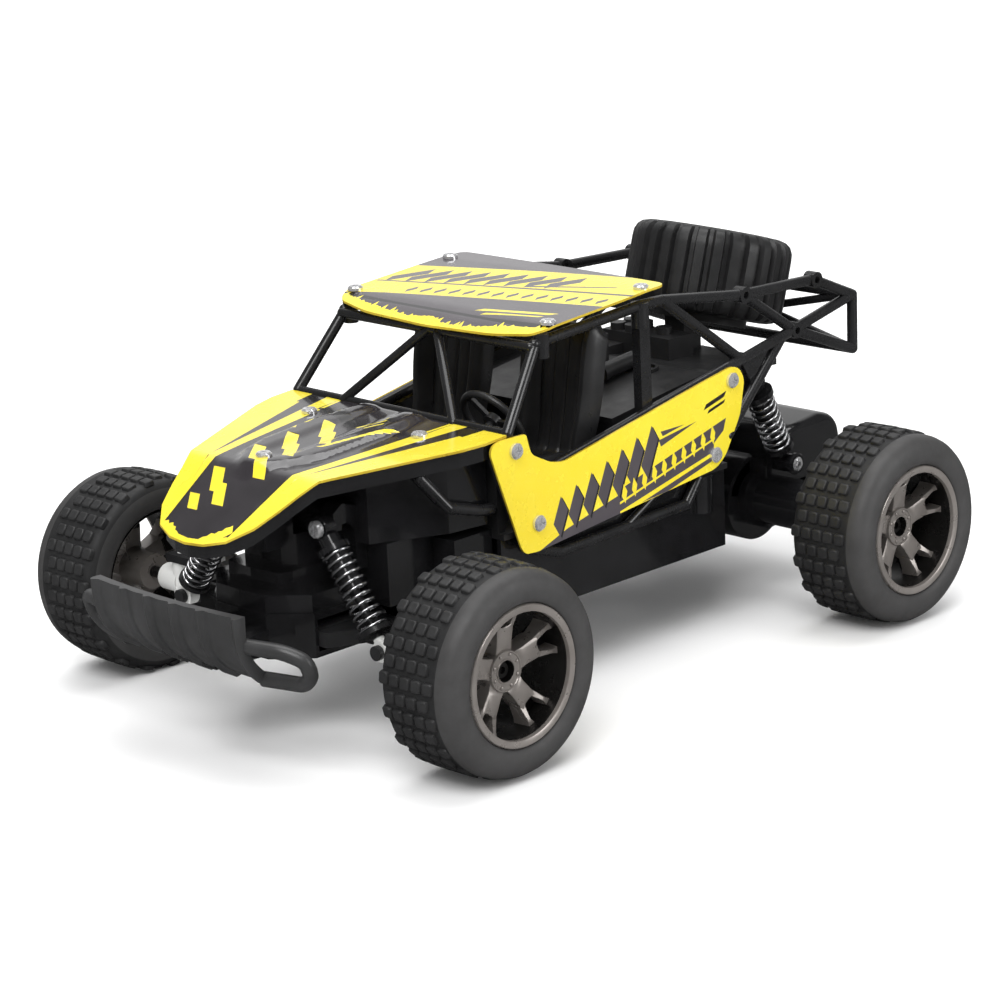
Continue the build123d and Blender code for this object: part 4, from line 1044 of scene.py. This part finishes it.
def studio():
    """White floor that stays dark in reflections, under a sky that is bright only behind the car."""
    mesh = bpy.data.meshes.new("floor")
    corners = [(-FLOOR_HALF, -FLOOR_HALF, 0), (FLOOR_HALF, -FLOOR_HALF, 0),
               (FLOOR_HALF, FLOOR_HALF, 0), (-FLOOR_HALF, FLOOR_HALF, 0)]
    mesh.from_pydata(corners, [], [(0, 1, 2, 3)])
    floor = bpy.data.objects.new("floor", mesh)
    bpy.context.scene.collection.objects.link(floor)
    s = Shader("pale_floor")
    tone = s.blend(s.remap(s.noise(1.4, 2), 0.3, 0.7, 0, 1), (0.93, 0.93, 0.93), (0.95, 0.95, 0.95))
    paths = s.add("ShaderNodeLightPath")
    s.color(s.blend(paths.outputs["Is Glossy Ray"], tone, (0.10, 0.10, 0.10)))
    s.set(Roughness=0.9, Specular_IOR_Level=0.1)
    far = s.add("ShaderNodeVectorMath", operation="LENGTH")
    s.link(s.coord, far.inputs[0])
    glow = s.add("ShaderNodeMath", operation="MULTIPLY")
    s.link(s.remap(far.outputs["Value"], 0.6, 2.2, 0, 1), glow.inputs[0])
    s.link(paths.outputs["Is Camera Ray"], glow.inputs[1])
    s.bsdf.inputs["Emission Color"].default_value = (1, 1, 1, 1)
    s.link(glow.outputs[0], s.bsdf.inputs["Emission Strength"])
    mesh.materials.append(s.mat)
    world = bpy.data.worlds.new("studio")
    bpy.context.scene.world = world
    world.use_nodes = True
    tree = world.node_tree
    coord = tree.nodes.new("ShaderNodeTexCoord")
    dot = tree.nodes.new("ShaderNodeVectorMath")
    dot.operation = "DOT_PRODUCT"
    dot.inputs[1].default_value = (-0.66, 0.66, 0.36)
    tree.links.new(coord.outputs["Generated"], dot.inputs[0])
    back = tree.nodes.new("ShaderNodeMapRange")
    back.interpolation_type = "SMOOTHSTEP"
    for key, number in (("From Min", 0.72), ("From Max", 0.96), ("To Min", SKY_DIM), ("To Max", SKY_BACK)):
        back.inputs[key].default_value = number
    tree.links.new(dot.outputs["Value"], back.inputs["Value"])
    paths = tree.nodes.new("ShaderNodeLightPath")
    mix = tree.nodes.new("ShaderNodeMix")
    tree.links.new(paths.outputs["Is Glossy Ray"], mix.inputs["Factor"])
    mix.inputs[2].default_value = SKY_FILL
    tree.links.new(back.outputs["Result"], mix.inputs[3])
    seen = tree.nodes.new("ShaderNodeMix")
    tree.links.new(paths.outputs["Is Camera Ray"], seen.inputs["Factor"])
    tree.links.new(mix.outputs[0], seen.inputs[2])
    seen.inputs[3].default_value = 1.0
    ground = tree.nodes["Background"]
    ground.inputs["Color"].default_value = (1, 1, 1, 1)
    tree.links.new(seen.outputs[0], ground.inputs["Strength"])


def softbox(name, place, aim, size, power):
    data = bpy.data.lights.new(name, "AREA")
    data.shape = "RECTANGLE"
    data.size, data.size_y = size
    data.energy = power
    light = bpy.data.objects.new(name, data)
    bpy.context.scene.collection.objects.link(light)
    light.location = place
    light.rotation_mode = "QUATERNION"
    light.rotation_quaternion = (Vector(aim) - Vector(place)).to_track_quat("-Z", "Y")
    return light


def camera():
    """A long lens from the front left, slightly above, rolled a little."""
    azimuth, elevation = math.radians(CAMERA_AZIMUTH), math.radians(CAMERA_ELEVATION)
    roll = math.radians(CAMERA_ROLL)
    target, distance = Vector(CAMERA_TARGET) * MM, CAMERA_DISTANCE * MM
    back = Vector((math.sin(azimuth) * math.cos(elevation), -math.cos(azimuth) * math.cos(elevation),
                   math.sin(elevation)))
    right0 = Vector((math.cos(azimuth), math.sin(azimuth), 0))
    up0 = back.cross(right0)
    right = right0 * math.cos(roll) + up0 * math.sin(roll)
    up = up0 * math.cos(roll) - right0 * math.sin(roll)
    data = bpy.data.cameras.new("camera")
    data.lens, data.sensor_width = CAMERA_LENS, CAMERA_SENSOR
    data.clip_start, data.clip_end = 0.05, 30
    cam = bpy.data.objects.new("camera", data)
    bpy.context.scene.collection.objects.link(cam)
    cam.matrix_world = Matrix.Translation(target + back * distance) @ Matrix(
        ((right.x, up.x, back.x), (right.y, up.y, back.y), (right.z, up.z, back.z))).to_4x4()
    bpy.context.scene.camera = cam


studio()
softbox("key", (0.5, -0.9, 1.3), (0, 0, 0.05), (1.0, 0.8), 16)
softbox("top", (-0.2, 0.2, 1.5), (0, 0, 0.05), (1.4, 1.0), 14)
softbox("side", (1.4, 0.5, 0.5), (0, 0, 0.06), (0.6, 0.9), 7)
softbox("rim", (-1.1, 0.9, 0.8), (0, 0, 0.06), (0.9, 0.6), 8).visible_glossy = False
camera()
